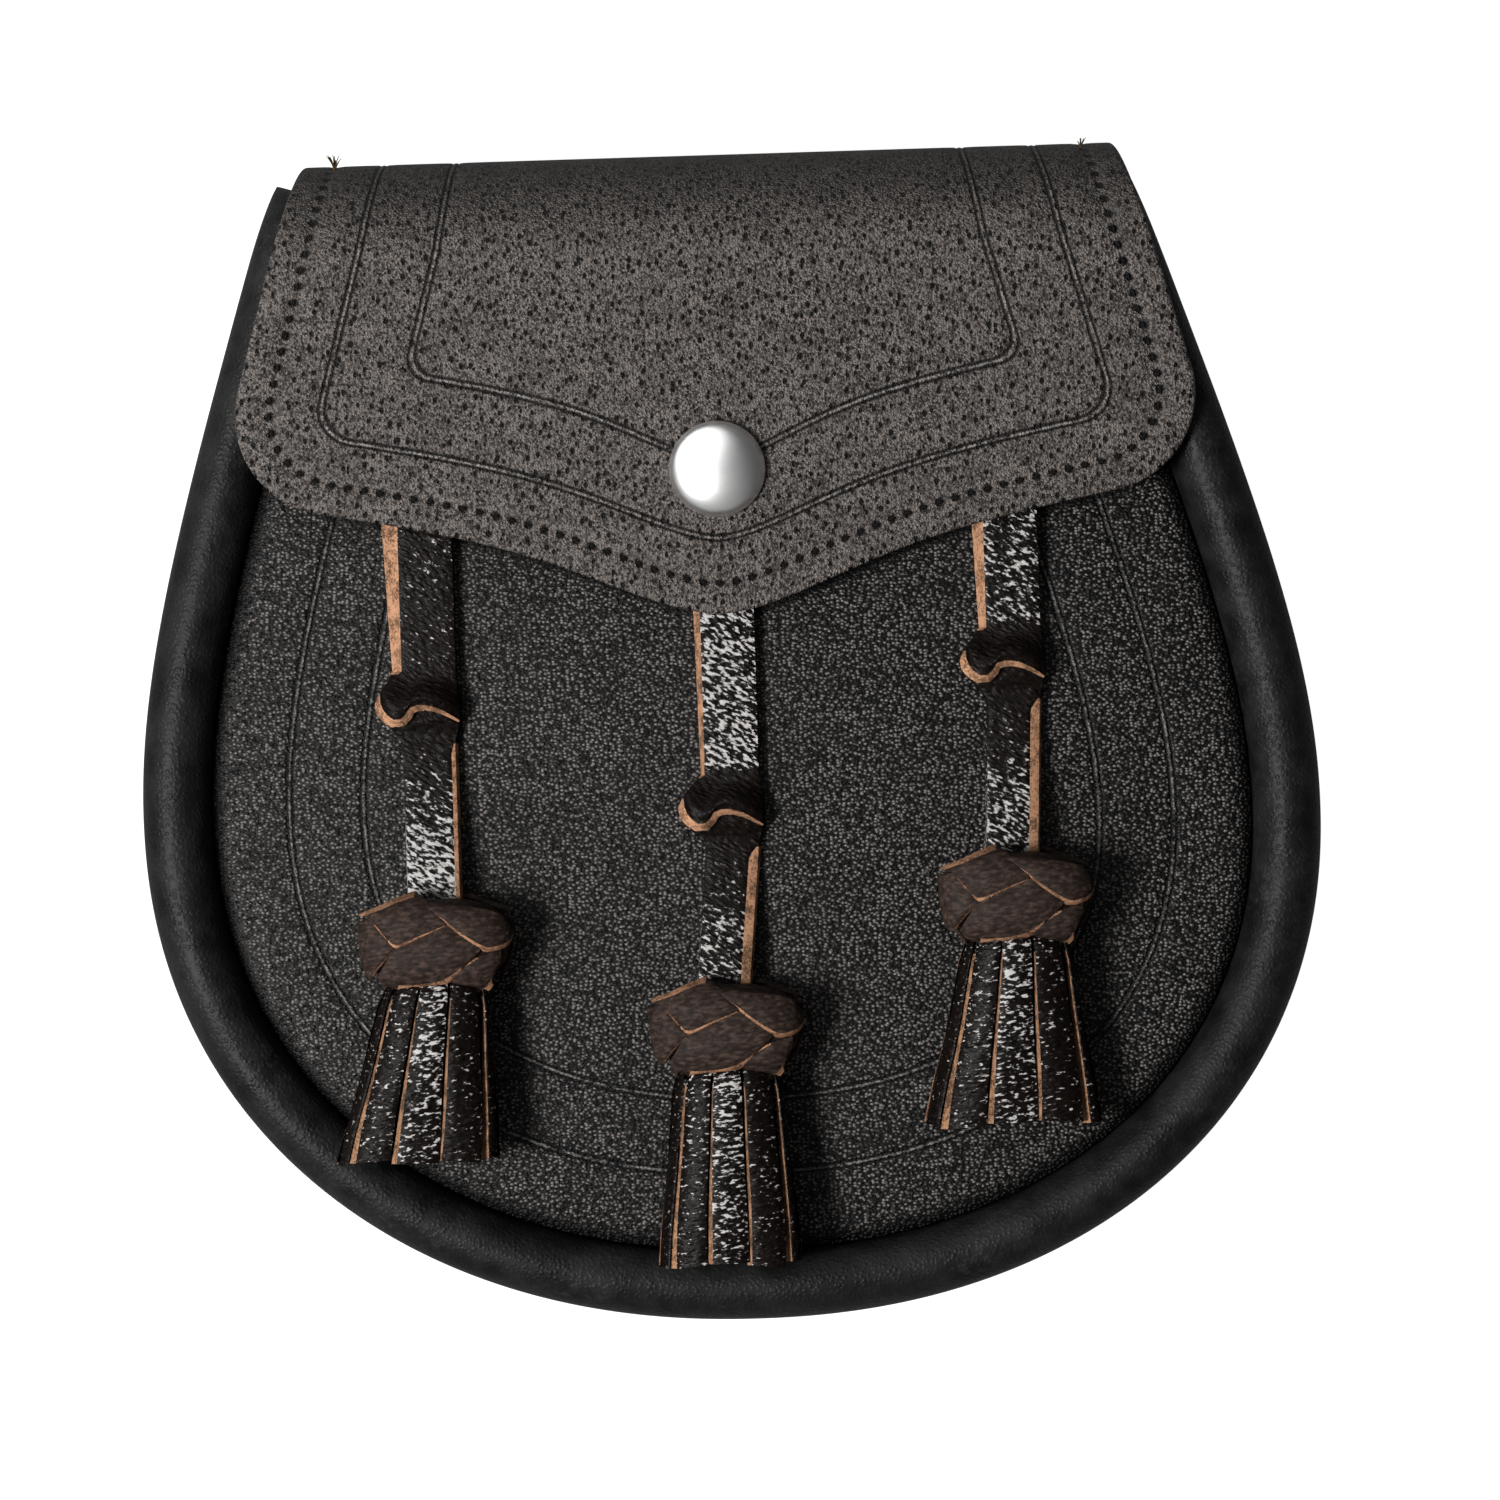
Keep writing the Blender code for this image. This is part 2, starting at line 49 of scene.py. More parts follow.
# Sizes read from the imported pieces
GUSSET_LOW, GUSSET_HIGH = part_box("gusset")
FLAP_LOW, FLAP_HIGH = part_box("flap")
BODY_WIDTH = GUSSET_HIGH[0] - GUSSET_LOW[0]
BODY_DEPTH = GUSSET_HIGH[2] - GUSSET_LOW[2]
FOOT_Y = GUSSET_LOW[1]
GUSSET_TOP_Y = GUSSET_HIGH[1]
TOP_Y = FLAP_HIGH[1]
FLAP_TIP_Y = FLAP_LOW[1]
BODY_LENGTH = TOP_Y - FOOT_Y

# The pouch's outline and rims
WAIST_Y = -11.8 * MM
SIDE_SLOPE = 0.37
SIDE_EASE = 38 * MM
FOOT_FULLNESS = 2.15
BODY_LEAN = 0.021
GUSSET_WALL = 1.6 * MM
RIM_WIDTH = 10.3 * MM
FRONT_RIM = 6 * MM
REAR_RIM = 7 * MM
RIM_LIP = 2.5 * MM
REAR_EASE = 18.6 * MM
SEAM_GAP = 0.3 * MM
SEAT_GAP = 0.4 * MM

# The panels
PANEL_WALL = 2.2 * MM
PANEL_DOME = 3.2 * MM
PANEL_TUCK = 1.1 * MM
PANEL_PRESS = 0.13 * MM
PANEL_WAVES = 0.25 * MM
PANEL_STEPS = (0, 0.15, 0.4, 0.8, 1.4, 2.2, 3.4, 5, 7, 9, 14.5, 17, 19.5, 26, 28)
TOOLED_LINES = (11.9 * MM, 23.3 * MM)

# The flap
FLAP_WALL = 2.2 * MM
FLAP_WIDTH = 146.2 * MM
FLAP_SHIFT = -0.6 * MM
FLAP_TAPER = 0.275
FLAP_EDGE_SLOPE = 0.19
FLAP_EDGE_RISE = 6.4 * MM
FLAP_EDGE_SPREAD = 24 * MM
FLAP_TIP_RADIUS = 5 * MM
FLAP_CROWN = 1.2 * MM
FOLD_REACH = 15 * MM
TAIL_LENGTH = 21 * MM
TAIL_WIDTH = 112 * MM
STITCH_INSET = 5.2 * MM
STITCH_PITCH = 2.55 * MM
STITCH_PRESS = 0.16 * MM
STITCH_SPREAD = 0.9 * MM
STITCH_SINK = 0.30 * MM
THREAD_FIBRE = 0.15 * MM
FLAP_PRESS = 0.15 * MM
FLAP_WAVES = 0.22 * MM
FLAP_ROUNDING = 0.75 * MM
FLAP_STEPS = (0, 0.12, 0.3, 0.6, 1.0, 1.8, 3.0, 4.0, 4.6, 5.2, 5.8, 6.5, 8, 9.8, 15, 17.5, 20, 22, 27, 30)
FOLD_ROWS = 30
TAIL_ROWS = 10
FOLD_Y = TOP_Y - FOLD_REACH
SHOULDER_Y = TOP_Y - 38.6 * MM
FRONT_CREASE_Z = BODY_DEPTH - FRONT_RIM
FLAP_UNDER_Z = BODY_DEPTH + SEAT_GAP
TAIL_INNER_Z = REAR_RIM - SEAM_GAP
FOLD_MID_Z = (FLAP_UNDER_Z + TAIL_INNER_Z) / 2
FOLD_INNER_HALF = (FLAP_UNDER_Z - TAIL_INNER_Z) / 2

# How the flap's outline shrinks inwards: side inset, lower edge inset, corner radius
FLAP_LEVELS = (
    (0.0, 0.0, 15.0),
    (12.9, 11.4, 5.0),
    (24.3, 22.9, 3.4),
    (30.0, 28.6, 3.4),
)
FLAP_CREASES = (12.9 * MM, 24.3 * MM)
CREASE_HALF_GAP = 0.45 * MM
CREASE_SPREAD = 0.19 * MM

# The press stud's cap: how far its edge reaches and how high it is, as shares of its radius and height
CAP_RIM = ((0.90, 0.0), (0.965, 0.02), (0.995, 0.06), (1.0, 0.11), (0.99, 0.17), (0.965, 0.235))
CAP_DOME_STEPS = 15
CAP_SIDES = 72

# The belt loops
LOOP_TAB = 9 * MM
LOOP_BEND = 5 * MM
LOOP_WALL = 2 * MM
LOOP_CORNER = 3 * MM
LOOP_SEAM = (2.2 * MM, 7.4 * MM)

# How long, wide and high a grain of thread is
FLAP_GRAIN = (1.25 * MM, 0.95 * MM, 0.55 * MM)
LOOP_GRAIN = (1.9 * MM, 0.7 * MM, 0.5 * MM)
LOOP_PITCH = 2.6 * MM

# Tassels: places as shares of the body's half width and half length
TASSELS = (
    # name, strap_x, strap_top, slit_y, knot_x, knot_y, fringe_end, sway, fan, lift
    ("left", -0.505, 0.49, 0.058, -0.503, -0.335, -0.704, -0.150, 1.00, 0.28),
    ("centre", 0.002, 0.33, -0.134, -0.020, -0.494, -0.893, -0.020, 0.87, 0.33),
    ("right", 0.485, 0.47, 0.102, 0.472, -0.287, -0.672, -0.050, 1.08, 0.05),
)
# Each thong's look: how wide its upper cut edge is, how many painted glint flecks its upper and its lower
# part carry, and how wide the lower part's cut edge is
THONG_LOOKS = {
    "left": (1.0, 0.18, 0.95, 0.6 * MM),
    "centre": (0.4, 0.80, 0.6, 1.4 * MM),
    "right": (0.68, 0.65, 0.75, 1.4 * MM),
}
STRAP_WIDTH = 8.2 * MM
STRAP_WALL = 2.4 * MM
STRAP_SKIVE = 2.6 * MM
STRAP_RISE = 4 * MM
STRAP_COLUMNS = 15
FACE_SOFT = 0.12 * MM
LOBE_RISE = 0.7 * MM
SLIT_LENGTH = 11.6 * MM
SLIT_WIDTH = 11.8 * MM
SLIT_HEIGHT = 5.2 * MM
KNOT_WIDTH = 23.6 * MM
KNOT_LENGTH = 14.1 * MM
KNOT_DEPTH = 13.8 * MM
FRINGE_WIDTH = 24.6 * MM
FRINGE_DEPTH = 10.5 * MM

# The cut end of a slit knot's upper lobe, left to right: shares of the slit's width and length
SLIT_EDGE = (
    (-0.63, 0.20), (-0.62, 0.08), (-0.565, -0.035), (-0.47, -0.125), (-0.385, -0.14),
    (-0.31, -0.09), (-0.25, 0.01), (-0.18, 0.045), (-0.05, 0.05), (0.10, 0.01),
    (0.25, -0.07), (0.385, -0.165),
)

# The woven knot's bands as they lie on its face: shares of its half width and half length, the lift in
# mm, and which stretch of the upper and of the lower edge shows its cut, as shares of the edge
KNOT_BANDS = (
    (
        ((0.20, -0.70), (0.44, -0.44), (0.62, -0.30), (0.84, -0.20)),
        ((0.20, -0.86), (0.40, -1.00), (0.64, -1.03), (0.84, -0.42)),
        0.3, (0.0, 0.6), (0.1, 0.6),
    ),
    (
        ((-0.52, -0.12), (-0.18, 0.10), (0.14, 0.34), (0.30, 0.22), (0.58, -0.13)),
        ((-0.74, -0.70), (-0.63, -0.90), (-0.33, -0.96), (0.13, -0.84), (0.58, -0.22)),
        0.7, (0.0, 0.0), (0.2, 0.75),
    ),
    (
        ((-1.00, 0.44), (-0.90, 0.50), (-0.79, 0.52), (-0.64, 0.22), (-0.51, -0.08)),
        ((-0.99, 0.20), (-0.95, -0.40), (-0.84, -0.74), (-0.72, -0.50), (-0.51, -0.12)),
        0.9, (0.35, 1.0), (0.60, 1.0),
    ),
    (
        ((-0.93, 0.60), (-0.67, 0.76), (-0.42, 0.94), (-0.18, 1.00), (0.15, 0.46)),
        ((-0.80, 0.52), (-0.64, 0.20), (-0.50, -0.08), (-0.18, 0.12), (0.15, 0.36)),
        1.0, (0.0, 0.55), (0.35, 1.0),
    ),
    (
        ((-0.10, 0.84), (0.16, 0.80), (0.58, 0.70), (0.85, 0.55), (1.00, 0.20)),
        ((-0.08, 0.74), (0.16, 0.43), (0.34, 0.16), (0.62, -0.15), (0.80, -0.15), (0.94, -0.04),
         (1.00, 0.14)),
        1.1, (0.0, 0.0), (0.0, 1.0),
    ),
)

# The strips on a fringe's face: where each one's cut edge, start and end lie across it, and its share of
# painted glints
FRINGE_CUTS = (
    (-1.00, -1.00, -0.84, 0.12),
    (-0.84, -0.76, -0.33, 0.40),
    (-0.33, -0.265, 0.245, 0.75),
    (0.245, 0.31, 0.79, 0.25),
    (0.79, 0.885, 1.00, 0.15),
)

# The look of each tassel leather: name, dark and light grain, roughness, relief, streak, cut edge
WAXED = ((0.0015, 0.0009, 0.0007), (0.0075, 0.0045, 0.0033), 0.42, 0.18 * MM)
TASSEL_LEATHERS = (
    ("thong waxed brown", *WAXED, -0.5, (0.44, 0.235, 0.135)),
    ("knot satin brown", (0.018, 0.0115, 0.009), (0.050, 0.033, 0.026), 0.60, 0.09 * MM, 0.1,
     (0.31, 0.160, 0.092)),
    ("fringe waxed brown", *WAXED, 0.1, (0.30, 0.160, 0.090)),
)

# Lights: where, how wide and how strong, in metres and watts, and the side where the room is brighter
KEY_LIGHT = ((-0.52, -0.14, 0.87), 0.30, 15.0)
STUD_CARD = ((-0.54, 0.64, 0.66), 1.9, 14.8)
BRIGHT_SIDE = (-0.62, -0.55, 0.25)

CAMERA_SPOT = (3.05 * MM, -2.6 * MM, 870 * MM)
CAMERA_ROLL = math.radians(-1.8)
CAMERA_LENS = 131.13


def smooth_step(share):
    held = np.clip(share, 0.0, 1.0)
    return held * held * (3 - 2 * held)


# Outlines


def resample(points, count):
    """The same path with this many points at even steps."""
    steps = np.hypot(*np.diff(points, axis=0).T)
    along = np.concatenate(([0.0], np.cumsum(steps)))
    wanted = np.linspace(0.0, along[-1], count)
    return np.column_stack([np.interp(wanted, along, points[:, k]) for k in range(points.shape[1])])


def smooth_path(knots, count):
    """A Catmull-Rom curve through these points, at even steps."""
    knots = np.asarray(knots, float)
    padded = np.vstack((2 * knots[0] - knots[1], knots, 2 * knots[-1] - knots[-2]))
    turns = np.linspace(0, 1, 12, endpoint=False)[:, None]
    pieces = []
    for a, b, c, d in zip(padded, padded[1:], padded[2:], padded[3:]):
        pieces.append(0.5 * (2 * b + (c - a) * turns + (2 * a - 5 * b + 4 * c - d) * turns**2
                             + (3 * b - a - 3 * c + d) * turns**3))
    return resample(np.vstack(pieces + [knots[-1:]]), count)


def body_outline(top_y, side_steps=120, foot_steps=300):
    """The pouch's outline, from its top left end down round the foot and up to its top right end."""
    half = BODY_WIDTH / 2
    y = np.linspace(top_y, WAIST_Y, side_steps, endpoint=False)
    x = half - SIDE_SLOPE * (np.hypot(y - WAIST_Y, SIDE_EASE) - SIDE_EASE)
    turn = np.linspace(0, math.pi, foot_steps + 1)
    power = 2 / FOOT_FULLNESS
    across = np.sign(np.cos(turn)) * np.abs(np.cos(turn)) ** power
    down = np.abs(np.sin(turn)) ** power
    foot = np.column_stack((-half * across, WAIST_Y + (FOOT_Y - WAIST_Y) * down))
    side = np.column_stack((x, y))
    points = np.vstack((side * (-1, 1), foot, side[::-1]))
    points[:, 0] -= BODY_LEAN * (points[:, 1] - WAIST_Y)
    return points


def inward_normals(points):
    ahead = np.vstack((points[1:], points[-1:])) - np.vstack((points[:1], points[:-1]))
    ahead /= np.hypot(ahead[:, 0], ahead[:, 1])[:, None]
    return np.column_stack((-ahead[:, 1], ahead[:, 0]))


def clip_top(points, top_y):
    """Cuts both upper ends of a U-shaped path off at this height."""
    low = np.argmin(points[:, 1])
    left, right = points[:low + 1], points[low:]
    left_x = np.interp(-top_y, -left[:, 1], left[:, 0])
    right_x = np.interp(top_y, right[:, 1], right[:, 0])
    kept = points[points[:, 1] < top_y]
    return np.vstack(([left_x, top_y], kept, [right_x, top_y]))


def inset_curve(inset, top_y, count):
    outline = body_outline(top_y + 20 * MM)
    moved = outline + inward_normals(outline) * inset
    return resample(clip_top(moved, top_y), count)


# Heights


def panel_top(x, y):
    across = x / (BODY_WIDTH / 2)
    along = y / (BODY_LENGTH / 2)
    return FRONT_CREASE_Z + PANEL_DOME * np.maximum(0.0, 1 - across**2) * np.maximum(0.0, 1 - along**2)


def rim_heights(y):
    run = max(0.0, y - FOLD_Y) / (FOLD_REACH - FLAP_WALL)
    reach = FOLD_INNER_HALF * math.sqrt(max(0.0, 1 - run * run)) - SEAT_GAP
    front = min(BODY_DEPTH, FOLD_MID_Z + reach)
    if y > FOLD_Y:
        return FOLD_MID_Z - reach, front
    return float(smooth_step((y - FOLD_Y) / REAR_EASE + 1)) * (TAIL_INNER_Z + SEAT_GAP), front


def crease_depth(inset, creases):
    """How far a tooled double line is pressed in at this inset, as a share of its depth."""
    depth = np.zeros_like(np.asarray(inset, float))
    for crease in creases:
        for side in (-1, 1):
            depth += np.exp(-(((inset - crease - side * CREASE_HALF_GAP) / CREASE_SPREAD) ** 2))
        depth += 0.35 * np.exp(-(((inset - crease) / (3.2 * CREASE_HALF_GAP)) ** 2))
    return depth


def with_creases(levels, creases):
    """Adds close steps at each tooled line, so that it is crisp in the mesh."""
    offsets = np.array((0, 0.14, 0.28, 0.42, 0.56, 0.70, 0.9, 1.3)) * MM
    near = [crease + side * offset for crease in creases for side in (-1, 1) for offset in offsets]
    clear = [level for level in levels if all(abs(level - crease) > 1.6 * MM for crease in creases)]
    return sorted(set(np.round(clear + near, 7)))


def unevenness(x, y, height):
    """A slow, handmade waviness of this height."""
    waves = (
        np.sin(x * 71 + y * 38 + 0.6) + np.sin(y * 97 - x * 29 + 2.1) + 0.6 * np.sin(x * 143 + y * 121 + 4.0)
    )
    return height * waves / 2.6


# Building blocks for meshes


class Shape:
    """Points and faces of one piece.

    cut marks the faces that show a cut edge of the leather, and the second list how many painted glint flecks
    each point's grain carries.
    """

    def __init__(self):
        self.points, self.faces, self.cut, self.glint_paint = [], [], [], []

    def add(self, points, faces, cut=0.0, glint_paint=0.0):
        start = len(self.points)
        self.points += [tuple(map(float, point)) for point in points]
        self.faces += [tuple(start + index for index in face) for face in faces]
        self.cut += list(np.broadcast_to(np.asarray(cut, float), len(faces)))
        self.glint_paint += list(np.broadcast_to(np.asarray(glint_paint, float), len(points)))

    def mesh(self, name, sharp=38):
        made = bpy.data.meshes.new(name)
        made.from_pydata(self.points, [], self.faces)
        mask = made.attributes.new("cut_edge", "FLOAT", "FACE")
        mask.data.foreach_set("value", self.cut)
        float_attribute(made, "glint_paint", self.glint_paint)
        shape = bmesh.new()
        shape.from_mesh(made)
        bmesh.ops.recalc_face_normals(shape, faces=shape.faces)
        shape.to_mesh(made)
        shape.free()
        made.shade_smooth()
        made.set_sharp_from_angle(angle=math.radians(sharp))
        return made


def place_object(name, content):
    made = bpy.data.objects.new(name, content)
    bpy.context.scene.collection.objects.link(made)
    return made


def new_piece(name, mesh, material, slot, *nodes):
    """One piece of the dressed part, in place of these nodes."""
    made = place_object(name, mesh)
    mesh.materials.clear()
    mesh.materials.append(material)
    if nodes:
        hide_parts(*nodes)
    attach(made, "root")
    return made


def float_attribute(mesh, name, values):
    made = mesh.attributes.new(name, "FLOAT", "POINT")
    made.data.foreach_set("value", np.asarray(values, np.float32))


def tube_faces(rows, around, capped=True):
    """Faces of a tube through rows of points, each a closed ring."""
    faces = []
    for r in range(rows - 1):
        for k in range(around):
            n = (k + 1) % around
            faces.append((r * around + k, r * around + n, (r + 1) * around + n, (r + 1) * around + k))
    if capped:
        faces.append(tuple(range(around))[::-1])
        faces.append(tuple((rows - 1) * around + k for k in range(around)))
    return faces


def add_slab(shape, upper, lower, sides_cut, glint_paint=0.0, face_cut=0.0):
    """A slab between two grids of points.

    sides_cut says for the first row, right side, last row and left side whether the edge shows a cut:
    a number, or one number for each step along that edge. The share of painted glint flecks is a number or
    one for each row, and face_cut a number or one for each face of the upper grid.
    """
    rows, columns = len(upper), len(upper[0])
    count = rows * columns
    grid = [
        (r * columns + k, r * columns + k + 1, (r + 1) * columns + k + 1, (r + 1) * columns + k)
        for r in range(rows - 1) for k in range(columns - 1)
    ]
    faces = grid + [tuple(count + index for index in face[::-1]) for face in grid]
    cut = list(np.broadcast_to(np.asarray(face_cut, float), len(grid))) + [0.0] * len(grid)
    edges = (
        [k for k in range(columns)],
        [r * columns + columns - 1 for r in range(rows)],
        [(rows - 1) * columns + k for k in range(columns - 1, -1, -1)],
        [r * columns for r in range(rows - 1, -1, -1)],
    )
    for edge, is_cut in zip(edges, sides_cut):
        faces += [(a, count + a, count + b, b) for a, b in zip(edge, edge[1:])]
        cut += list(np.broadcast_to(np.asarray(is_cut, float), len(edge) - 1))
    points = [point for row in upper for point in row] + [point for row in lower for point in row]
    painted_glints = np.repeat(np.broadcast_to(np.asarray(glint_paint, float), rows), columns)
    shape.add(points, faces, cut, np.concatenate((painted_glints, painted_glints)))


class Sheet:
    """A U-shaped sheet: inset curves from its edge inwards, then straight rows across the middle."""

    def __init__(self, levels, columns):
        count = len(levels[0])
        half = (count - 1) // 2
        self.points = [point for level in levels for point in level]
        self.level = [k for k, level in enumerate(levels) for _ in level]
        self.step = [i for level in levels for i in range(count)]
        self.faces = []
        for k in range(len(levels) - 1):
            for i in range(count - 1):
                a = k * count + i
                self.faces.append((a, a + 1, a + count + 1, a + count))
        base = (len(levels) - 1) * count
        rows = []
        for i in range(half):
            left, right = levels[-1][i], levels[-1][count - 1 - i]
            row = [base + i]
            for k in range(1, columns):
                row.append(len(self.points))
                self.points.append(left + (right - left) * k / columns)
                self.level.append(len(levels) - 1)
                self.step.append(i if k < columns / 2 else count - 1 - i)
            rows.append(row + [base + count - 1 - i])
        for upper, lower in zip(rows, rows[1:]):
            for k in range(columns):
                self.faces.append((lower[k], lower[k + 1], upper[k + 1], upper[k]))
        foot = base + half
        self.faces += [(foot, rows[-1][k + 1], rows[-1][k]) for k in range(columns)]
        self.rim = list(range(count))
        ends = [k * count for k in range(len(levels))]
        self.top = ends[:-1] + rows[0] + [end + count - 1 for end in ends[::-1][1:]]
        self.points = np.array(self.points)


def closed_shell(outer, inner, faces, loop):
    """One wall between two sheets of the same layout, closed along their border."""
    count = len(outer)
    made = Shape()
    walls = [(count + a, count + b, b, a) for a, b in zip(loop, loop[1:] + loop[:1])]
    under = [tuple(count + index for index in face[::-1]) for face in faces]
    made.add(list(outer) + list(inner), list(faces) + under + walls)
    return made


# Shader groups and materials


class Wiring:
    """Short calls for building a node tree."""

    def __init__(self, tree):
        self.tree = tree

    def node(self, kind, values=None, **settings):
        made = self.tree.nodes.new(kind)
        for key, value in settings.items():
            setattr(made, key, value)
        for key, value in (values or {}).items():
            self.feed(made.inputs[key], value)
        return made

    def feed(self, socket, value):
        if isinstance(value, bpy.types.NodeSocket):
            self.tree.links.new(value, socket)
        else:
            socket.default_value = (*value, 1) if socket.type == "RGBA" else value

    def math(self, operation, *values):
        return self.node("ShaderNodeMath", dict(enumerate(values)), operation=operation).outputs[0]

    def times(self, first, second):
        return self.math("MULTIPLY", first, second)

    def scaled(self, value, factor, start):
        """The value times the factor, added to the start."""
        return self.math("MULTIPLY_ADD", value, factor, start)

    def spread(self, value, low, high, to_low=0.0, to_high=1.0, kind="SMOOTHSTEP"):
        return self.node(
            "ShaderNodeMapRange",
            {"Value": value, "From Min": low, "From Max": high, "To Min": to_low, "To Max": to_high},
            interpolation_type=kind,
        ).outputs["Result"]

    def mix(self, share, first, second):
        return self.node("ShaderNodeMix", {0: share, 6: first, 7: second}, data_type="RGBA").outputs[2]

    def layered(self, tone, *layers):
        """The tone with each colour laid over it where its mask says."""
        for mask, colour in layers:
            tone = self.mix(mask, tone, colour)
        return tone

    def attribute(self, name):
        return self.node("ShaderNodeAttribute", attribute_name=name).outputs["Fac"]

    def noise(self, where, scale, detail=3.0, roughness=0.55):
        values = {"Vector": where, "Scale": scale, "Detail": detail, "Roughness": roughness}
        return self.node("ShaderNodeTexNoise", values).outputs["Fac"]

    def cells(self, where, scale, randomness, dimensions):
        """Scattered cells: how far each spot is from its cell's middle, and a chance value for the cell."""
        values = {"Vector": where, "Scale": scale, "Randomness": randomness}
        made = self.node("ShaderNodeTexVoronoi", values, voronoi_dimensions=dimensions).outputs
        return made["Distance"], self.node("ShaderNodeSeparateColor", {"Color": made["Color"]}).outputs[0]

    def mapped(self, where, scale, turn=0.0, kind="POINT"):
        values = {"Vector": where, "Scale": scale, "Rotation": (0.0, 0.0, turn)}
        return self.node("ShaderNodeMapping", values, vector_type=kind).outputs[0]


def new_group(name, inputs, outputs):
    """An empty shader group with sockets of these names and kinds."""
    tree = bpy.data.node_groups.new(name, "ShaderNodeTree")
    for side, sockets in (("INPUT", inputs), ("OUTPUT", outputs)):
        for socket, kind in sockets.items():
            tree.interface.new_socket(socket, in_out=side, socket_type=f"NodeSocket{kind}")
    wires = Wiring(tree)
    return tree, wires, wires.node("NodeGroupInput").outputs, wires.node("NodeGroupOutput").inputs


def pebble_grain_group(name, dimensions, dome_span, valley_span):
    """Leather pebbles: rounded cells, each a little lighter or darker, with creases between."""
    tree, wires, given, out = new_group(
        name, {"Where": "Vector", "Pebbles": "Float", "Fine": "Float"},
        {"Height": "Float", "Valley": "Float", "Lot": "Float", "Mottle": "Float"},
    )
    off, lot = wires.cells(given["Where"], given["Pebbles"], 0.9, dimensions)
    dome = wires.spread(off, *dome_span, 1.0, 0.0)
    small = wires.noise(given["Where"], wires.times(given["Pebbles"], 1.3), detail=1.0)
    wires.feed(out["Height"], wires.scaled(small, given["Fine"], dome))
    wires.feed(out["Valley"], wires.spread(off, *valley_span))
    wires.feed(out["Lot"], wires.scaled(lot, 0.45, wires.times(small, 0.9)))
    wires.feed(out["Mottle"], wires.noise(given["Where"], 150.0, detail=2.0, roughness=0.6))
    return tree


def pores_group():
    """Dark pores scattered over a flat hide, longer than wide, large and small, some cells without one."""
    tree, wires, given, out = new_group(
        "pores", {"Where": "Vector", "Spacing": "Float", "Share": "Float"}, {"Pore": "Float"}
    )
    longer = wires.mapped(given["Where"], (1.25, 0.85, 1.0), 0.25)
    off, lot = wires.cells(longer, given["Spacing"], 1.0, "2D")
    size = wires.scaled(lot, 0.16, 0.12)
    hole = wires.spread(wires.math("DIVIDE", off, size), 0.62, 1.28, 1.0, 0.0)
    wires.feed(out["Pore"], wires.times(hole, wires.math("LESS_THAN", lot, given["Share"])))
    return tree


def cut_fibre_group():
    """The raw cut edge of tanned leather: fine fibres and darker rubbed patches."""
    tree, wires, given, out = new_group(
        "cut fibre", {"Where": "Vector", "Light": "Color", "Dark": "Color"},
        {"Colour": "Color", "Height": "Float"},
    )
    fine = wires.noise(given["Where"], 2600.0, detail=2.0, roughness=0.7)
    broad = wires.noise(given["Where"], 420.0, detail=2.0, roughness=0.6)
    share = wires.spread(wires.scaled(fine, 0.6, wires.times(broad, 0.6)), 0.46, 0.72)
    wires.feed(out["Colour"], wires.mix(share, given["Dark"], given["Light"]))
    wires.feed(out["Height"], fine)
    return tree


def rubbed_group():
    """Soft lighter scuffs where leather is handled."""
    tree, wires, given, out = new_group("rubbed", {"Where": "Vector"}, {"Mask": "Float"})
    broad = wires.noise(given["Where"], 45.0, detail=3.0, roughness=0.65)
    fine = wires.noise(given["Where"], 800.0, detail=1.0, roughness=0.7)
    wires.feed(out["Mask"], wires.times(wires.spread(broad, 0.45, 0.72), wires.spread(fine, 0.45, 0.75)))
    return tree


GROUPS = {
    "pebble": pebble_grain_group("pebble grain", "3D", (0.10, 0.62), (0.34, 0.66)),
    "flat pebble": pebble_grain_group("flat pebble grain", "2D", (0.05, 0.50), (0.20, 0.50)),
    "pores": pores_group(),
    "fibre": cut_fibre_group(),
    "rubbed": rubbed_group(),
}


def use_group(wires, key, values):
    made = wires.node("ShaderNodeGroup", node_tree=GROUPS[key])
    for name, value in values.items():
        wires.feed(made.inputs[name], value)
    return made.outputs


def new_material(name, roughness, specular=0.5, metallic=0.0):
    material = bpy.data.materials.new(name)
    material.use_nodes = True
    wires = Wiring(material.node_tree)
    surface = material.node_tree.nodes["Principled BSDF"]
    for socket, value in (("Roughness", roughness), ("Specular IOR Level", specular), ("Metallic", metallic)):
        surface.inputs[socket].default_value = value
    return material, wires, surface, wires.node("ShaderNodeTexCoord").outputs["Object"]


def dress(wires, surface, tone, rough, height, distance, strength=1.0):
    """Joins the colour, the roughness and the relief to the surface."""
    relief = wires.node("ShaderNodeBump", {"Height": height, "Distance": distance, "Strength": strength})
    for socket, value in (("Base Color", tone), ("Roughness", rough), ("Normal", relief.outputs["Normal"])):
        wires.feed(surface.inputs[socket], value)


def line_mask(wires, inset, places, core, reach):
    """Full along lines at these insets, and gone at this reach from them."""
    total = 0.0
    for place in places:
        off = wires.math("ABSOLUTE", wires.math("SUBTRACT", inset, place))
        total = wires.math("MAXIMUM", total, wires.spread(off, core, reach, 1.0, 0.0))
    return total


def tooling(wires, pebble, creases, least_ridge_light):
    """Masks for tooled double lines: the grooves (painted shade), the burnished ridge, and its light (wear
    and painted highlight).
    """
    inset = wires.attribute("inset")
    grooves = [crease + side * CREASE_HALF_GAP for crease in creases for side in (-1, 1)]
    groove = line_mask(wires, inset, grooves, 0.08 * MM, 0.38 * MM)
    ridge = line_mask(wires, inset, creases, 0.06 * MM, 0.24 * MM)
    ridge_wear_and_highlight = wires.times(ridge, wires.spread(pebble["Lot"], 0.35, 0.85, 0.05, 0.75))
    ridge_wear_and_highlight = wires.times(ridge_wear_and_highlight, wires.spread(pebble["Mottle"], 0.40, 0.66, least_ridge_light, 1.0))
    return inset, groove, ridge, ridge_wear_and_highlight


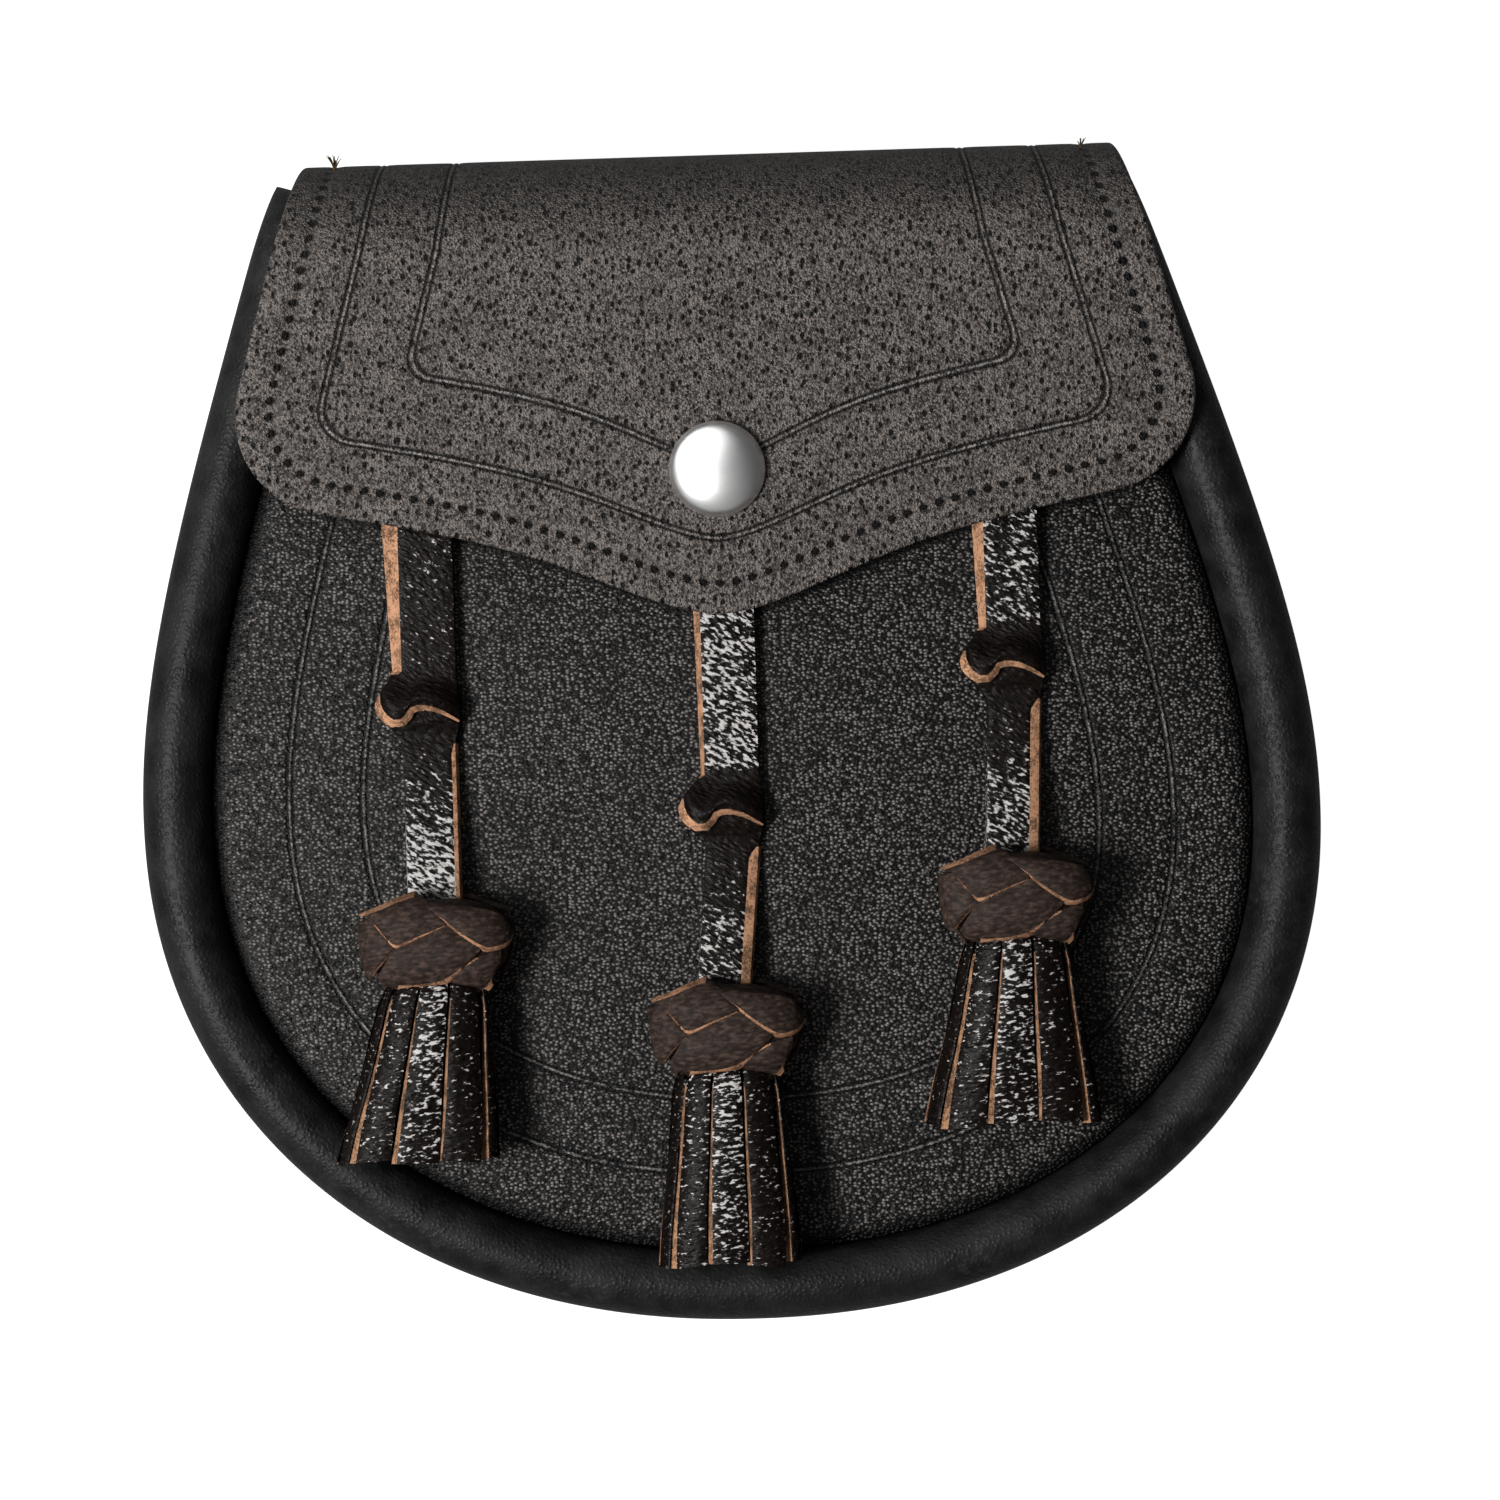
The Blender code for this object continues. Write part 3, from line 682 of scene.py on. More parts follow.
def stitch_masks(wires, inset):
    """The pit under each stitch, the shallow channel along the row, and how open the grain is beside it."""
    step = wires.math("SUBTRACT", wires.math("FRACT", wires.attribute("stitch_run")), 0.5)
    across = wires.math("SUBTRACT", inset, STITCH_INSET)
    squares = [wires.math("POWER", way, 2.0) for way in (wires.times(step, STITCH_PITCH), across)]
    off = wires.math("ABSOLUTE", across)
    pit = wires.spread(wires.math("SQRT", wires.math("ADD", *squares)), 0.35 * MM, 0.9 * MM, 1.0, 0.0)
    channel = wires.spread(off, 0.5 * MM, 2.0 * MM, 1.0, 0.0)
    return pit, channel, wires.spread(off, 0.6 * MM, 2.6 * MM, 0.25, 1.0)


def flap_leather():
    """Matt pored grain and tooled lines; painted shade in stitch holes, grooves and over the fold; a ridge
    partly worn, partly painted highlight.
    """
    material, wires, surface, where = new_material("flap pored leather", 0.55, 0.12)
    place = wires.node("ShaderNodeSeparateXYZ", {"Vector": where}).outputs
    hide = wires.node("ShaderNodeCombineXYZ", {"X": place["X"], "Y": wires.attribute("unrolled")}).outputs[0]
    pebble = use_group(wires, "flat pebble", {"Where": hide, "Pebbles": 2500.0, "Fine": 0.7})
    pores = use_group(wires, "pores", {"Where": hide, "Spacing": 530.0, "Share": 0.8})["Pore"]
    specks = use_group(wires, "pores", {"Where": hide, "Spacing": 950.0, "Share": 0.55})["Pore"]
    rubbed = use_group(wires, "rubbed", {"Where": where})["Mask"]
    inset, groove, ridge, ridge_wear_and_highlight = tooling(wires, pebble, FLAP_CREASES, 0.2)
    pit, channel, open_grain = stitch_masks(wires, inset)
    pores = wires.times(wires.math("MAXIMUM", pores, wires.times(specks, 0.7)), open_grain)
    tone = wires.layered(
        wires.mix(wires.spread(pebble["Lot"], 0.43, 0.92), (0.024, 0.0210, 0.0192), (0.240, 0.211, 0.192)),
        (wires.spread(pebble["Mottle"], 0.3, 0.75, 0.0, 0.35), (0.045, 0.040, 0.038)),
        (wires.times(rubbed, 0.30), (0.26, 0.24, 0.228)),
        (wires.times(pebble["Valley"], 0.5), (0.012, 0.010, 0.009)),
        (pores, (0.0015, 0.0012, 0.001)),
        # the ridge's lighter tone: partly wear, partly a painted highlight
        (ridge_wear_and_highlight, (0.30, 0.279, 0.262)),
        # painted shade over the fold: the flap darkens toward its top, where it turns away from the light
        (wires.spread(place["Y"], TOP_Y - 18 * MM, TOP_Y - 3 * MM, 0.0, 0.6), (0.012, 0.011, 0.0105)),
        # painted shade in the tooled grooves
        (wires.times(groove, 0.94), (0.004, 0.0035, 0.003)),
        # painted shade in the stitch holes, round the thread
        (wires.times(pit, 0.97), (0.002, 0.002, 0.002)),
    )
    rough = wires.scaled(ridge, -0.12, wires.scaled(pebble["Mottle"], 0.16, 0.46))
    height = wires.scaled(channel, -1.0, wires.scaled(pores, -1.3, pebble["Height"]))
    dress(wires, surface, tone, rough, wires.scaled(pit, -3.0, height), 0.16 * MM)
    return material


def panel_leather():
    """Fine pebbled grain that catches the light, with dark pores along the tooled border, painted shade at
    the rim's crease, under the flap's edge and in the grooves, and a ridge partly worn, partly painted
    highlight.
    """
    material, wires, surface, where = new_material("panel pebbled leather", 0.42, 0.10)
    wider = wires.mapped(where, (0.85, 1.15, 1.0))
    pebble = use_group(wires, "flat pebble", {"Where": wider, "Pebbles": 1700.0, "Fine": 0.7})
    pores = use_group(wires, "pores", {"Where": where, "Spacing": 560.0, "Share": 0.8})["Pore"]
    rubbed = use_group(wires, "rubbed", {"Where": where})["Mask"]
    inset, groove, ridge, ridge_wear_and_highlight = tooling(wires, pebble, TOOLED_LINES, 0.3)
    border = wires.spread(inset, 20 * MM, 28 * MM, 0.85, 0.0)
    # seam: painted shade in the crease where the panel meets the rim
    seam = wires.spread(inset, 0.8 * MM, 3.2 * MM, 0.93, 0.0)
    # painted shadow of the flap, on the panel just below its edge
    flap_shadow_paint = wires.spread(wires.attribute("past_flap"), 0.2 * MM, 1.6 * MM, 0.9, 0.0)
    # dark gathers the painted shade: the rim's crease, the flap's shadow and the tooled grooves
    dark = wires.math("MAXIMUM", wires.math("MAXIMUM", seam, flap_shadow_paint), wires.times(groove, 0.95))
    tone = wires.layered(
        wires.mix(wires.spread(pebble["Lot"], 0.42, 0.92), (0.006, 0.0055, 0.005), (0.210, 0.191, 0.178)),
        (wires.spread(pebble["Mottle"], 0.35, 0.75, 0.0, 0.3), (0.012, 0.0115, 0.011)),
        (wires.times(rubbed, 0.20), (0.12, 0.116, 0.112)),
        (pebble["Valley"], (0.001, 0.001, 0.001)),
        (wires.times(pores, border), (0.002, 0.002, 0.002)),
        # the ridge's lighter tone: partly wear, partly a painted highlight
        (ridge_wear_and_highlight, (0.21, 0.20, 0.19)),
        (dark, (0.0015, 0.0015, 0.0015)),
    )
    rough = wires.scaled(ridge, -0.12, wires.scaled(pebble["Mottle"], 0.20, 0.36))
    dress(wires, surface, tone, rough, pebble["Height"], 0.22 * MM)
    return material


def smooth_leather(name, dark, light, roughness, pebbles, depth):
    """Soft black leather for the gusset, the back and the belt loops."""
    material, wires, surface, where = new_material(name, roughness, 0.10)
    pebble = use_group(wires, "pebble", {"Where": where, "Pebbles": pebbles, "Fine": 0.7})
    rubbed = use_group(wires, "rubbed", {"Where": where})["Mask"]
    edge = {"Where": where, "Light": (0.05, 0.043, 0.038), "Dark": (0.012, 0.010, 0.009)}
    tone = wires.layered(
        wires.mix(wires.spread(pebble["Mottle"], 0.3, 0.7), dark, light),
        (wires.times(rubbed, 0.175), (0.09, 0.088, 0.086)),
        (wires.times(pebble["Valley"], 0.3), (0.005, 0.005, 0.005)),
        (wires.attribute("cut_edge"), use_group(wires, "fibre", edge)["Colour"]),
    )
    rough = wires.scaled(pebble["Mottle"], 0.2, roughness - 0.1)
    dress(wires, surface, tone, rough, pebble["Height"], depth)
    return material


def thong_leather(name, dark, light, roughness, depth, streak, tan):
    """Waxed dark brown thong: wrinkled faces with bright flecks of painted highlight, and tan cut edges."""
    material, wires, surface, where = new_material(name, roughness, 0.07)
    turned = wires.mapped(where, (1.7, 0.75, 1.0), streak, "TEXTURE")
    pebble = use_group(wires, "pebble", {"Where": turned, "Pebbles": 1050.0, "Fine": 0.9})
    fibre = use_group(wires, "fibre", {"Where": where, "Light": tan, "Dark": [0.22 * part for part in tan]})
    cut = wires.attribute("cut_edge")
    glint_paint = wires.attribute("glint_paint")
    speck = wires.noise(turned, 1500.0, detail=2.0, roughness=0.6)
    # painted highlight: bright glint flecks laid into the colour, more of them where more painted glints are
    # asked for
    painted_fleck = wires.spread(wires.math("SUBTRACT", speck, wires.scaled(glint_paint, -0.20, 0.66)), 0.0, 0.10)
    painted_fleck = wires.times(painted_fleck, wires.spread(glint_paint, 0.0, 0.1))
    tone = wires.layered(
        wires.mix(wires.spread(speck, 0.35, 0.7), dark, light),
        (wires.times(pebble["Valley"], 0.5), (0.003, 0.002, 0.0016)),
        (wires.times(painted_fleck, 0.9), (0.46, 0.44, 0.425)),
        (cut, fibre["Colour"]),
    )
    face_roughness = wires.scaled(pebble["Mottle"], 0.18, roughness - 0.09)
    rough = wires.spread(cut, 0.0, 1.0, face_roughness, 0.75, kind="LINEAR")
    raw = wires.times(wires.times(fibre["Height"], cut), 0.5)
    height = wires.scaled(wires.scaled(pebble["Height"], 0.6, speck), wires.math("SUBTRACT", 1.0, cut), raw)
    dress(wires, surface, tone, rough, height, depth)
    return material


def steel(name, roughness):
    material, wires, surface, where = new_material(name, roughness, metallic=1.0)
    fine = wires.noise(wires.mapped(where, (1.0, 14.0, 1.0), 0.6), 900.0, detail=4.0, roughness=0.7)
    broad = wires.noise(where, 260.0, detail=3.0)
    tone = wires.mix(broad, (0.78, 0.78, 0.78), (0.90, 0.895, 0.885))
    dress(wires, surface, tone, wires.scaled(fine, 0.14, roughness - 0.06), fine, 0.01 * MM, 0.4)
    return material


def sewing_thread(name, dark, light):
    material, wires, surface, where = new_material(name, 0.5, 0.05)
    fine = wires.noise(where, 3600.0, detail=3.0, roughness=0.6)
    dress(wires, surface, wires.mix(fine, dark, light), wires.scaled(fine, 0.2, 0.55), fine, 0.05 * MM)
    return material


# Stitches and threads, by Geometry Nodes


def stitch_tree(thread):
    """Grains of thread at even steps along a path, each turned along it."""
    tree = bpy.data.node_groups.new("stitches along a path", "GeometryNodeTree")
    tree.interface.new_socket("Path", in_out="INPUT", socket_type="NodeSocketGeometry")
    sizes = {"Count": 10, "Length": 1.3 * MM, "Width": 0.8 * MM, "Height": 0.5 * MM}
    sockets = {}
    for name, value in sizes.items():
        kind = "NodeSocketInt" if name == "Count" else "NodeSocketFloat"
        socket = tree.interface.new_socket(name, in_out="INPUT", socket_type=kind)
        socket.default_value = value
        sockets[name] = socket.identifier
    tree.interface.new_socket("Stitches", in_out="OUTPUT", socket_type="NodeSocketGeometry")
    wires = Wiring(tree)
    given = wires.node("NodeGroupInput").outputs
    along = wires.node("GeometryNodeCurveToPoints", mode="COUNT")
    wires.feed(along.inputs["Curve"], given["Path"])
    wires.feed(along.inputs["Count"], given["Count"])
    grain = wires.node("GeometryNodeMeshIcoSphere", {"Radius": 0.5, "Subdivisions": 2})
    scale = wires.node(
        "ShaderNodeCombineXYZ", {"X": given["Height"], "Y": given["Width"], "Z": given["Length"]}
    )
    placed = wires.node("GeometryNodeInstanceOnPoints", {
        "Points": along.outputs["Points"], "Instance": grain.outputs["Mesh"],
        "Rotation": along.outputs["Rotation"], "Scale": scale.outputs[0]})
    real = wires.node("GeometryNodeRealizeInstances", {"Geometry": placed.outputs[0]})
    smooth = wires.node("GeometryNodeSetShadeSmooth", {"Geometry": real.outputs[0]})
    finish = wires.node("GeometryNodeSetMaterial", {"Geometry": smooth.outputs[0], "Material": thread})
    wires.feed(wires.node("NodeGroupOutput").inputs["Stitches"], finish.outputs[0])
    return tree, sockets, thread


def path_curve(name, points):
    curve = bpy.data.curves.new(name, "CURVE")
    curve.dimensions = "3D"
    spline = curve.splines.new("POLY")
    spline.points.add(len(points) - 1)
    spline.points.foreach_set("co", [value for point in points for value in (*point, 1.0)])
    return place_object(name, curve)


def path_length(points):
    return float(np.sum(np.linalg.norm(np.diff(np.asarray(points), axis=0), axis=1)))


def sew(name, points, count, sewing, slot, grain):
    """A row of stitches along these points, as one plain mesh."""
    tree, sockets, thread = sewing
    path = path_curve(name + "_path", points)
    grown = path.modifiers.new("stitches", "NODES")
    grown.node_group = tree
    for key, value in zip(("Count", "Length", "Width", "Height"), (count, *grain)):
        grown[sockets[key]] = value
    evaluated = path.evaluated_get(bpy.context.evaluated_depsgraph_get())
    mesh = bpy.data.meshes.new_from_object(evaluated)
    mesh.name = name
    curve = path.data
    bpy.data.objects.remove(path)
    bpy.data.curves.remove(curve)
    return new_piece(name, mesh, thread, slot)


# Gusset


def roll_arc(radius_x, radius_z, centre_z, side, steps=14):
    turn = np.linspace(0, math.pi, steps + 1)
    across = RIM_WIDTH / 2 + radius_x * np.cos(turn)
    return np.column_stack((across, centre_z + side * radius_z * np.sin(turn)))


def gusset_section(rear_z, front_z):
    share = (front_z - rear_z) / BODY_DEPTH
    front_roll, rear_roll, lip = FRONT_RIM * share, REAR_RIM * share, RIM_LIP * share
    half = RIM_WIDTH / 2
    front_mid, rear_mid = front_z - front_roll, rear_z + rear_roll
    lip_x = RIM_WIDTH - GUSSET_WALL
    bead = half - GUSSET_WALL
    wall = np.column_stack((np.zeros(5), np.linspace(front_mid, rear_mid, 7)[1:-1]))
    return np.vstack((
        [(RIM_WIDTH, front_mid - lip)],
        roll_arc(half, front_roll, front_mid, 1),
        wall,
        roll_arc(half, rear_roll, rear_mid, -1)[::-1],
        [(RIM_WIDTH, rear_mid + lip), (lip_x, rear_mid + lip)],
        roll_arc(bead, rear_roll - GUSSET_WALL, rear_mid, -1, 6),
        roll_arc(bead, front_roll - GUSSET_WALL, front_mid, 1, 6)[::-1],
        [(lip_x, front_mid - lip)],
    ))


def make_gusset(material):
    outline = resample(body_outline(GUSSET_TOP_Y), 420)
    normals = inward_normals(outline)
    rings = []
    for (x, y), (nx, ny) in zip(outline, normals):
        section = gusset_section(*rim_heights(y))
        rings += [(x + nx * inset, y + ny * inset, z) for inset, z in section]
    shape = Shape()
    shape.add(rings, tube_faces(len(outline), len(section)))
    mesh = shape.mesh("gusset_leatherwork", 60)
    new_piece("gusset_leatherwork", mesh, material, "gusset_leather", "gusset")


# Panels


def make_panel(name, material, slot, node, top_z, bottom_z, press):
    """A panel with tooled double lines along its edge."""
    levels = with_creases(np.array(PANEL_STEPS) * MM, TOOLED_LINES)
    sheet = Sheet([inset_curve(RIM_WIDTH + SEAM_GAP + level, FOLD_Y, 421) for level in levels], 84)
    inset = np.array(levels)[sheet.level]
    x, y = sheet.points[:, 0], sheet.points[:, 1]
    upper = np.column_stack((x, y, top_z(x, y, inset) - press * crease_depth(inset, TOOLED_LINES)))
    lower = np.column_stack((x, y, bottom_z(x, y, inset)))
    mesh = closed_shell(upper, lower, sheet.faces, sheet.rim + sheet.top[::-1][1:-1]).mesh(name, 50)
    float_attribute(mesh, "inset", np.tile(inset, 2))
    float_attribute(mesh, "past_flap", np.tile(past_flap(x, y), 2))
    new_piece(name, mesh, material, slot, node)


def past_flap(x, y):
    """How far a spot lies below the flap's edge, where the panel's material paints the flap's shadow."""
    return flap_edge(x) - y + 4 * np.maximum(0, np.abs(x) - 62 * MM)


def make_front_panel(material):
    def top_z(x, y, inset):
        tuck = PANEL_TUCK * np.exp(-inset / (1.1 * MM))
        return panel_top(x, y) - tuck + unevenness(x, y, PANEL_WAVES) * smooth_step(inset / (12 * MM))

    def bottom_z(x, y, _):
        return panel_top(x, y) - PANEL_WALL

    make_panel("front_leatherwork", material, "panel_leather", "front_panel", top_z, bottom_z, PANEL_PRESS)


def make_back_panel(material):
    """The plain back: its outer face looks down, so the sheet's lower side is the one that is seen."""
    low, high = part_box("back_panel")

    def top_z(x, _, __):
        return np.full_like(x, high[2])

    def bottom_z(_, __, inset):
        return low[2] + 0.5 * MM * np.exp(-inset / (0.9 * MM))

    make_panel("back_leatherwork", material, "back_leather", "back_panel", top_z, bottom_z, 0.0)


# Flap


def flap_side(y):
    return FLAP_WIDTH / 2 - FLAP_TAPER * (y - SHOULDER_Y)


def flap_edge(x):
    run = np.hypot(x, FLAP_TIP_RADIUS) - FLAP_TIP_RADIUS
    return FLAP_TIP_Y + FLAP_EDGE_SLOPE * run + FLAP_EDGE_RISE * (1 - np.exp(-((x / FLAP_EDGE_SPREAD) ** 2)))


def edge_slope(x):
    return (flap_edge(x + 0.1 * MM) - flap_edge(x - 0.1 * MM)) / (0.2 * MM)


def flap_level(side_inset, side_steps=70, corner_steps=24, edge_steps=126):
    """The flap's outline drawn in by this much: down the left side, along the edge and up the right."""
    keys = np.array(FLAP_LEVELS) * MM
    edge_inset = np.interp(side_inset, keys[:, 0], keys[:, 1])
    radius = np.interp(side_inset, keys[:, 0], keys[:, 2])
    base = FLAP_TIP_Y - FLAP_EDGE_SLOPE * FLAP_TIP_RADIUS + FLAP_EDGE_RISE
    base += edge_inset * math.hypot(1, FLAP_EDGE_SLOPE)
    half = FLAP_WIDTH / 2 - side_inset * math.hypot(1, FLAP_TAPER)
    above = radius * math.hypot(1, FLAP_EDGE_SLOPE)
    off = radius * math.hypot(1, FLAP_TAPER)
    reach = half - FLAP_TAPER * (base + above - SHOULDER_Y) - off
    centre_x = reach / (1 + FLAP_TAPER * FLAP_EDGE_SLOPE)
    centre_y = FLAP_EDGE_SLOPE * centre_x + base + above
    start = math.atan(FLAP_TAPER)
    end = math.atan(FLAP_EDGE_SLOPE) - math.pi / 2
    turn = np.linspace(start, end, corner_steps + 1)
    corner = np.column_stack((centre_x + radius * np.cos(turn), centre_y + radius * np.sin(turn)))
    y = np.linspace(FOLD_Y, corner[0, 1], side_steps + 1)[:-1]
    side = np.column_stack((half - FLAP_TAPER * (y - SHOULDER_Y), y))
    x = corner[-1, 0] * (1 - np.linspace(0, 1, edge_steps + 1)[1:] ** 1.1)
    join_x, join_y = corner[-1]
    edge = np.column_stack((x, flap_edge(x) + edge_inset * np.hypot(1, edge_slope(x))))
    step = join_y - flap_edge(join_x) - edge_inset * math.hypot(1, edge_slope(join_x))
    edge[:, 1] += step * (x / join_x) ** 3
    right = np.vstack((side, corner, edge))
    left = right * (-1, 1)
    return np.vstack((left[:-1], right[::-1]))


def flap_front_z(x, y, thickness):
    share = x / flap_side(y)
    crown = FLAP_CROWN * (1 - share**2) * smooth_step((FOLD_Y - y) / (TOP_Y - SHOULDER_Y))
    return FLAP_UNDER_Z + thickness + crown


def edge_round(inset, radius):
    """How much a wall's face falls away close to its edge."""
    left = np.clip((radius - inset) / radius, 0, 1)
    return radius * (1 - np.sqrt(1 - left**2))


def fold_rows(share, thickness):
    """The flap's face over the fold and down the tail, in rows, and how far each row is from the front."""
    reach = FOLD_REACH - FLAP_WALL + thickness
    rise = FOLD_INNER_HALF + thickness
    turns = np.linspace(math.pi / 2, -math.pi / 2, FOLD_ROWS + 1)[1:]
    places = [(turn, 0.0) for turn in turns]
    places += [(-math.pi / 2, TAIL_LENGTH * k / TAIL_ROWS) for k in range(1, TAIL_ROWS + 1)]
    made, run, where = [], [], 0.0
    before = np.array((flap_side(FOLD_Y), FOLD_Y, FOLD_MID_Z + float(np.mean(rise))))
    for turn, down in places:
        y = FOLD_Y + reach * math.cos(turn) - down
        z = FOLD_MID_Z + rise * math.sin(turn)
        widest = flap_side(FOLD_Y + FOLD_REACH * math.cos(turn))
        spread = float(smooth_step(2 * (turn / math.pi + 0.5)))
        half = TAIL_WIDTH / 2 + (widest - TAIL_WIDTH / 2) * spread
        made.append(np.column_stack((share * half, y, z)))
        spot = np.array((half, float(np.mean(y)), float(np.mean(z))))
        where += float(np.linalg.norm(spot - before))
        before = spot
        run.append(where)
    return made, np.array(run)


def flap_press(inset):
    """How deep the tooled lines and the row of stitches are pressed into the flap."""
    row = np.exp(-(((inset - STITCH_INSET) / STITCH_SPREAD) ** 2))
    return FLAP_PRESS * crease_depth(inset, FLAP_CREASES) + STITCH_PRESS * row


def fold_faces(sheet, rows):
    """Faces of the fold and the tail, row by row from the top of the front, and the whole border."""
    wide = len(sheet.top)
    start = len(sheet.points)
    lines = [sheet.top] + [[start + r * wide + k for k in range(wide)] for r in range(rows)]
    faces = list(sheet.faces)
    for low, high in zip(lines, lines[1:]):
        faces += [(low[k], low[k + 1], high[k + 1], high[k]) for k in range(wide - 1)]
    right = [line[-1] for line in lines[1:-1]]
    left = [line[0] for line in lines[1:-1][::-1]]
    return faces, sheet.rim + right + lines[-1][::-1] + left


def make_flap(material, sewing):
    levels = with_creases(np.array(FLAP_STEPS) * MM, FLAP_CREASES)
    sheet = Sheet([flap_level(level) for level in levels], 74)
    inset = np.array(levels)[sheet.level]
    x, y = sheet.points[:, 0], sheet.points[:, 1]
    bulge = unevenness(x, y, FLAP_WAVES) * smooth_step((FOLD_Y - y) / (12 * MM))
    rounding = edge_round(inset, FLAP_ROUNDING)
    outer_z = flap_front_z(x, y, FLAP_WALL - rounding - flap_press(inset)) + bulge
    inner_z = flap_front_z(x, y, rounding) + bulge

    border, border_inset = x[sheet.top], inset[sheet.top]
    share = border / flap_side(FOLD_Y)
    fold_round = edge_round((1 - np.abs(share)) * flap_side(FOLD_Y), FLAP_ROUNDING)
    outer_rows, run = fold_rows(share, FLAP_WALL - fold_round - flap_press(border_inset))
    inner_rows, _ = fold_rows(share, fold_round)
    faces, loop = fold_faces(sheet, len(run))
    outer = np.vstack([np.column_stack((x, y, outer_z))] + outer_rows) + (FLAP_SHIFT, 0, 0)
    inner = np.vstack([np.column_stack((x, y, inner_z))] + inner_rows) + (FLAP_SHIFT, 0, 0)
    mesh = closed_shell(outer, inner, faces, loop).mesh("flap_leatherwork", 50)

    row = flap_level(STITCH_INSET)
    steps = np.concatenate(([0.0], np.cumsum(np.hypot(*np.diff(row, axis=0).T))))
    stitches = round(steps[-1] / STITCH_PITCH)
    front_run = steps[sheet.step] / steps[-1] * stitches + 0.5
    past = run[:, None] / STITCH_PITCH
    fold_run = np.where(border < 0, 0.5 - past, stitches + 0.5 + past)
    wide = len(border)
    for name, front, fold in (
        ("inset", inset, np.tile(border_inset, len(run))),
        ("stitch_run", front_run, fold_run.ravel()),
        ("unrolled", y, np.repeat(FOLD_Y + run, wide)),
    ):
        float_attribute(mesh, name, np.tile(np.concatenate((front, fold)), 2))
    new_piece("flap_leatherwork", mesh, material, "flap_leather", "flap")

    row_x, row_y = row[:, 0], row[:, 1]
    row_z = flap_front_z(row_x, row_y, FLAP_WALL) + unevenness(row_x, row_y, FLAP_WAVES) - STITCH_SINK
    path = np.column_stack((row_x + FLAP_SHIFT, row_y, row_z))
    sew("flap_stitches", path, stitches + 1, sewing, "flap_leather", FLAP_GRAIN)


def make_thread_tail(name, spot, reach, count, material):
    """The frayed end of the sewing thread: thin fibres that fan out past the fold."""
    shape = Shape()
    rows, around = 6, 5
    for k in range(count):
        lean = 0.42 * math.sin(2.4 * k + spot[0] * 900)
        rise = 0.5 * math.cos(1.7 * k + 0.4)
        length = reach * (0.62 + 0.38 * abs(math.sin(1.3 * k + 0.8)))
        rings = []
        for r in range(rows):
            share = r / (rows - 1)
            middle = (
                spot[0] + length * lean * share**1.6,
                spot[1] + length * share * (1 - 0.25 * share * abs(lean)),
                spot[2] + length * rise * share**1.3,
            )
            thick = THREAD_FIBRE * (1 - 0.55 * share)
            for turn in (2 * math.pi * j / around for j in range(around)):
                across, up = thick * math.cos(turn), thick * math.sin(turn)
                rings.append((middle[0] + across, middle[1], middle[2] + up))
        shape.add(rings, tube_faces(rows, around))
    new_piece(name, shape.mesh(name, 60), material, "flap_leather")


def fray_threads(material):
    """The two ends of the flap's stitching, left long on the fold."""
    tail_z = FOLD_MID_Z + 0.45 * FOLD_INNER_HALF
    for name, side, reach, count in (("left", -1, 2.9 * MM, 14), ("right", 1, 1.9 * MM, 6)):
        tail_x = side * (flap_side(TOP_Y) - STITCH_INSET) + FLAP_SHIFT
        spot = (tail_x, TOP_Y - 1.6 * MM, tail_z)
        make_thread_tail(f"thread_tail_{name}", spot, reach, count, material)


# Press stud


def make_snap(material, stud_material):
    low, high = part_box("snap_cap")
    x, y = (low[0] + high[0]) / 2, (low[1] + high[1]) / 2
    half = (high[0] - low[0]) / 2
    tall = high[2] - low[2]
    profile = list(CAP_RIM)
    for k in range(1, CAP_DOME_STEPS):
        turn = math.pi / 2 * k / CAP_DOME_STEPS
        profile.append((0.955 * math.cos(turn), 0.24 + 0.76 * math.sin(turn) ** 1.05))
    turns = [2 * math.pi * k / CAP_SIDES for k in range(CAP_SIDES)]
    rings = [
        (x + half * radius * math.cos(turn), y + half * radius * math.sin(turn), low[2] + tall * up)
        for radius, up in profile for turn in turns
    ]
    foot, crown = len(rings), len(rings) + 1
    last = (len(profile) - 1) * CAP_SIDES
    faces = tube_faces(len(profile), CAP_SIDES, capped=False)
    faces += [(foot, (k + 1) % CAP_SIDES, k) for k in range(CAP_SIDES)]
    faces += [(crown, last + k, last + (k + 1) % CAP_SIDES) for k in range(CAP_SIDES)]
    shape = Shape()
    shape.add(rings + [(x, y, low[2]), (x, y, high[2])], faces)
    new_piece("snap_dome", shape.mesh("snap_dome", 60), material, "snap_steel", "snap_cap")
    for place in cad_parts["snap_stud"].material_slots:
        place.material = stud_material


# Belt loops


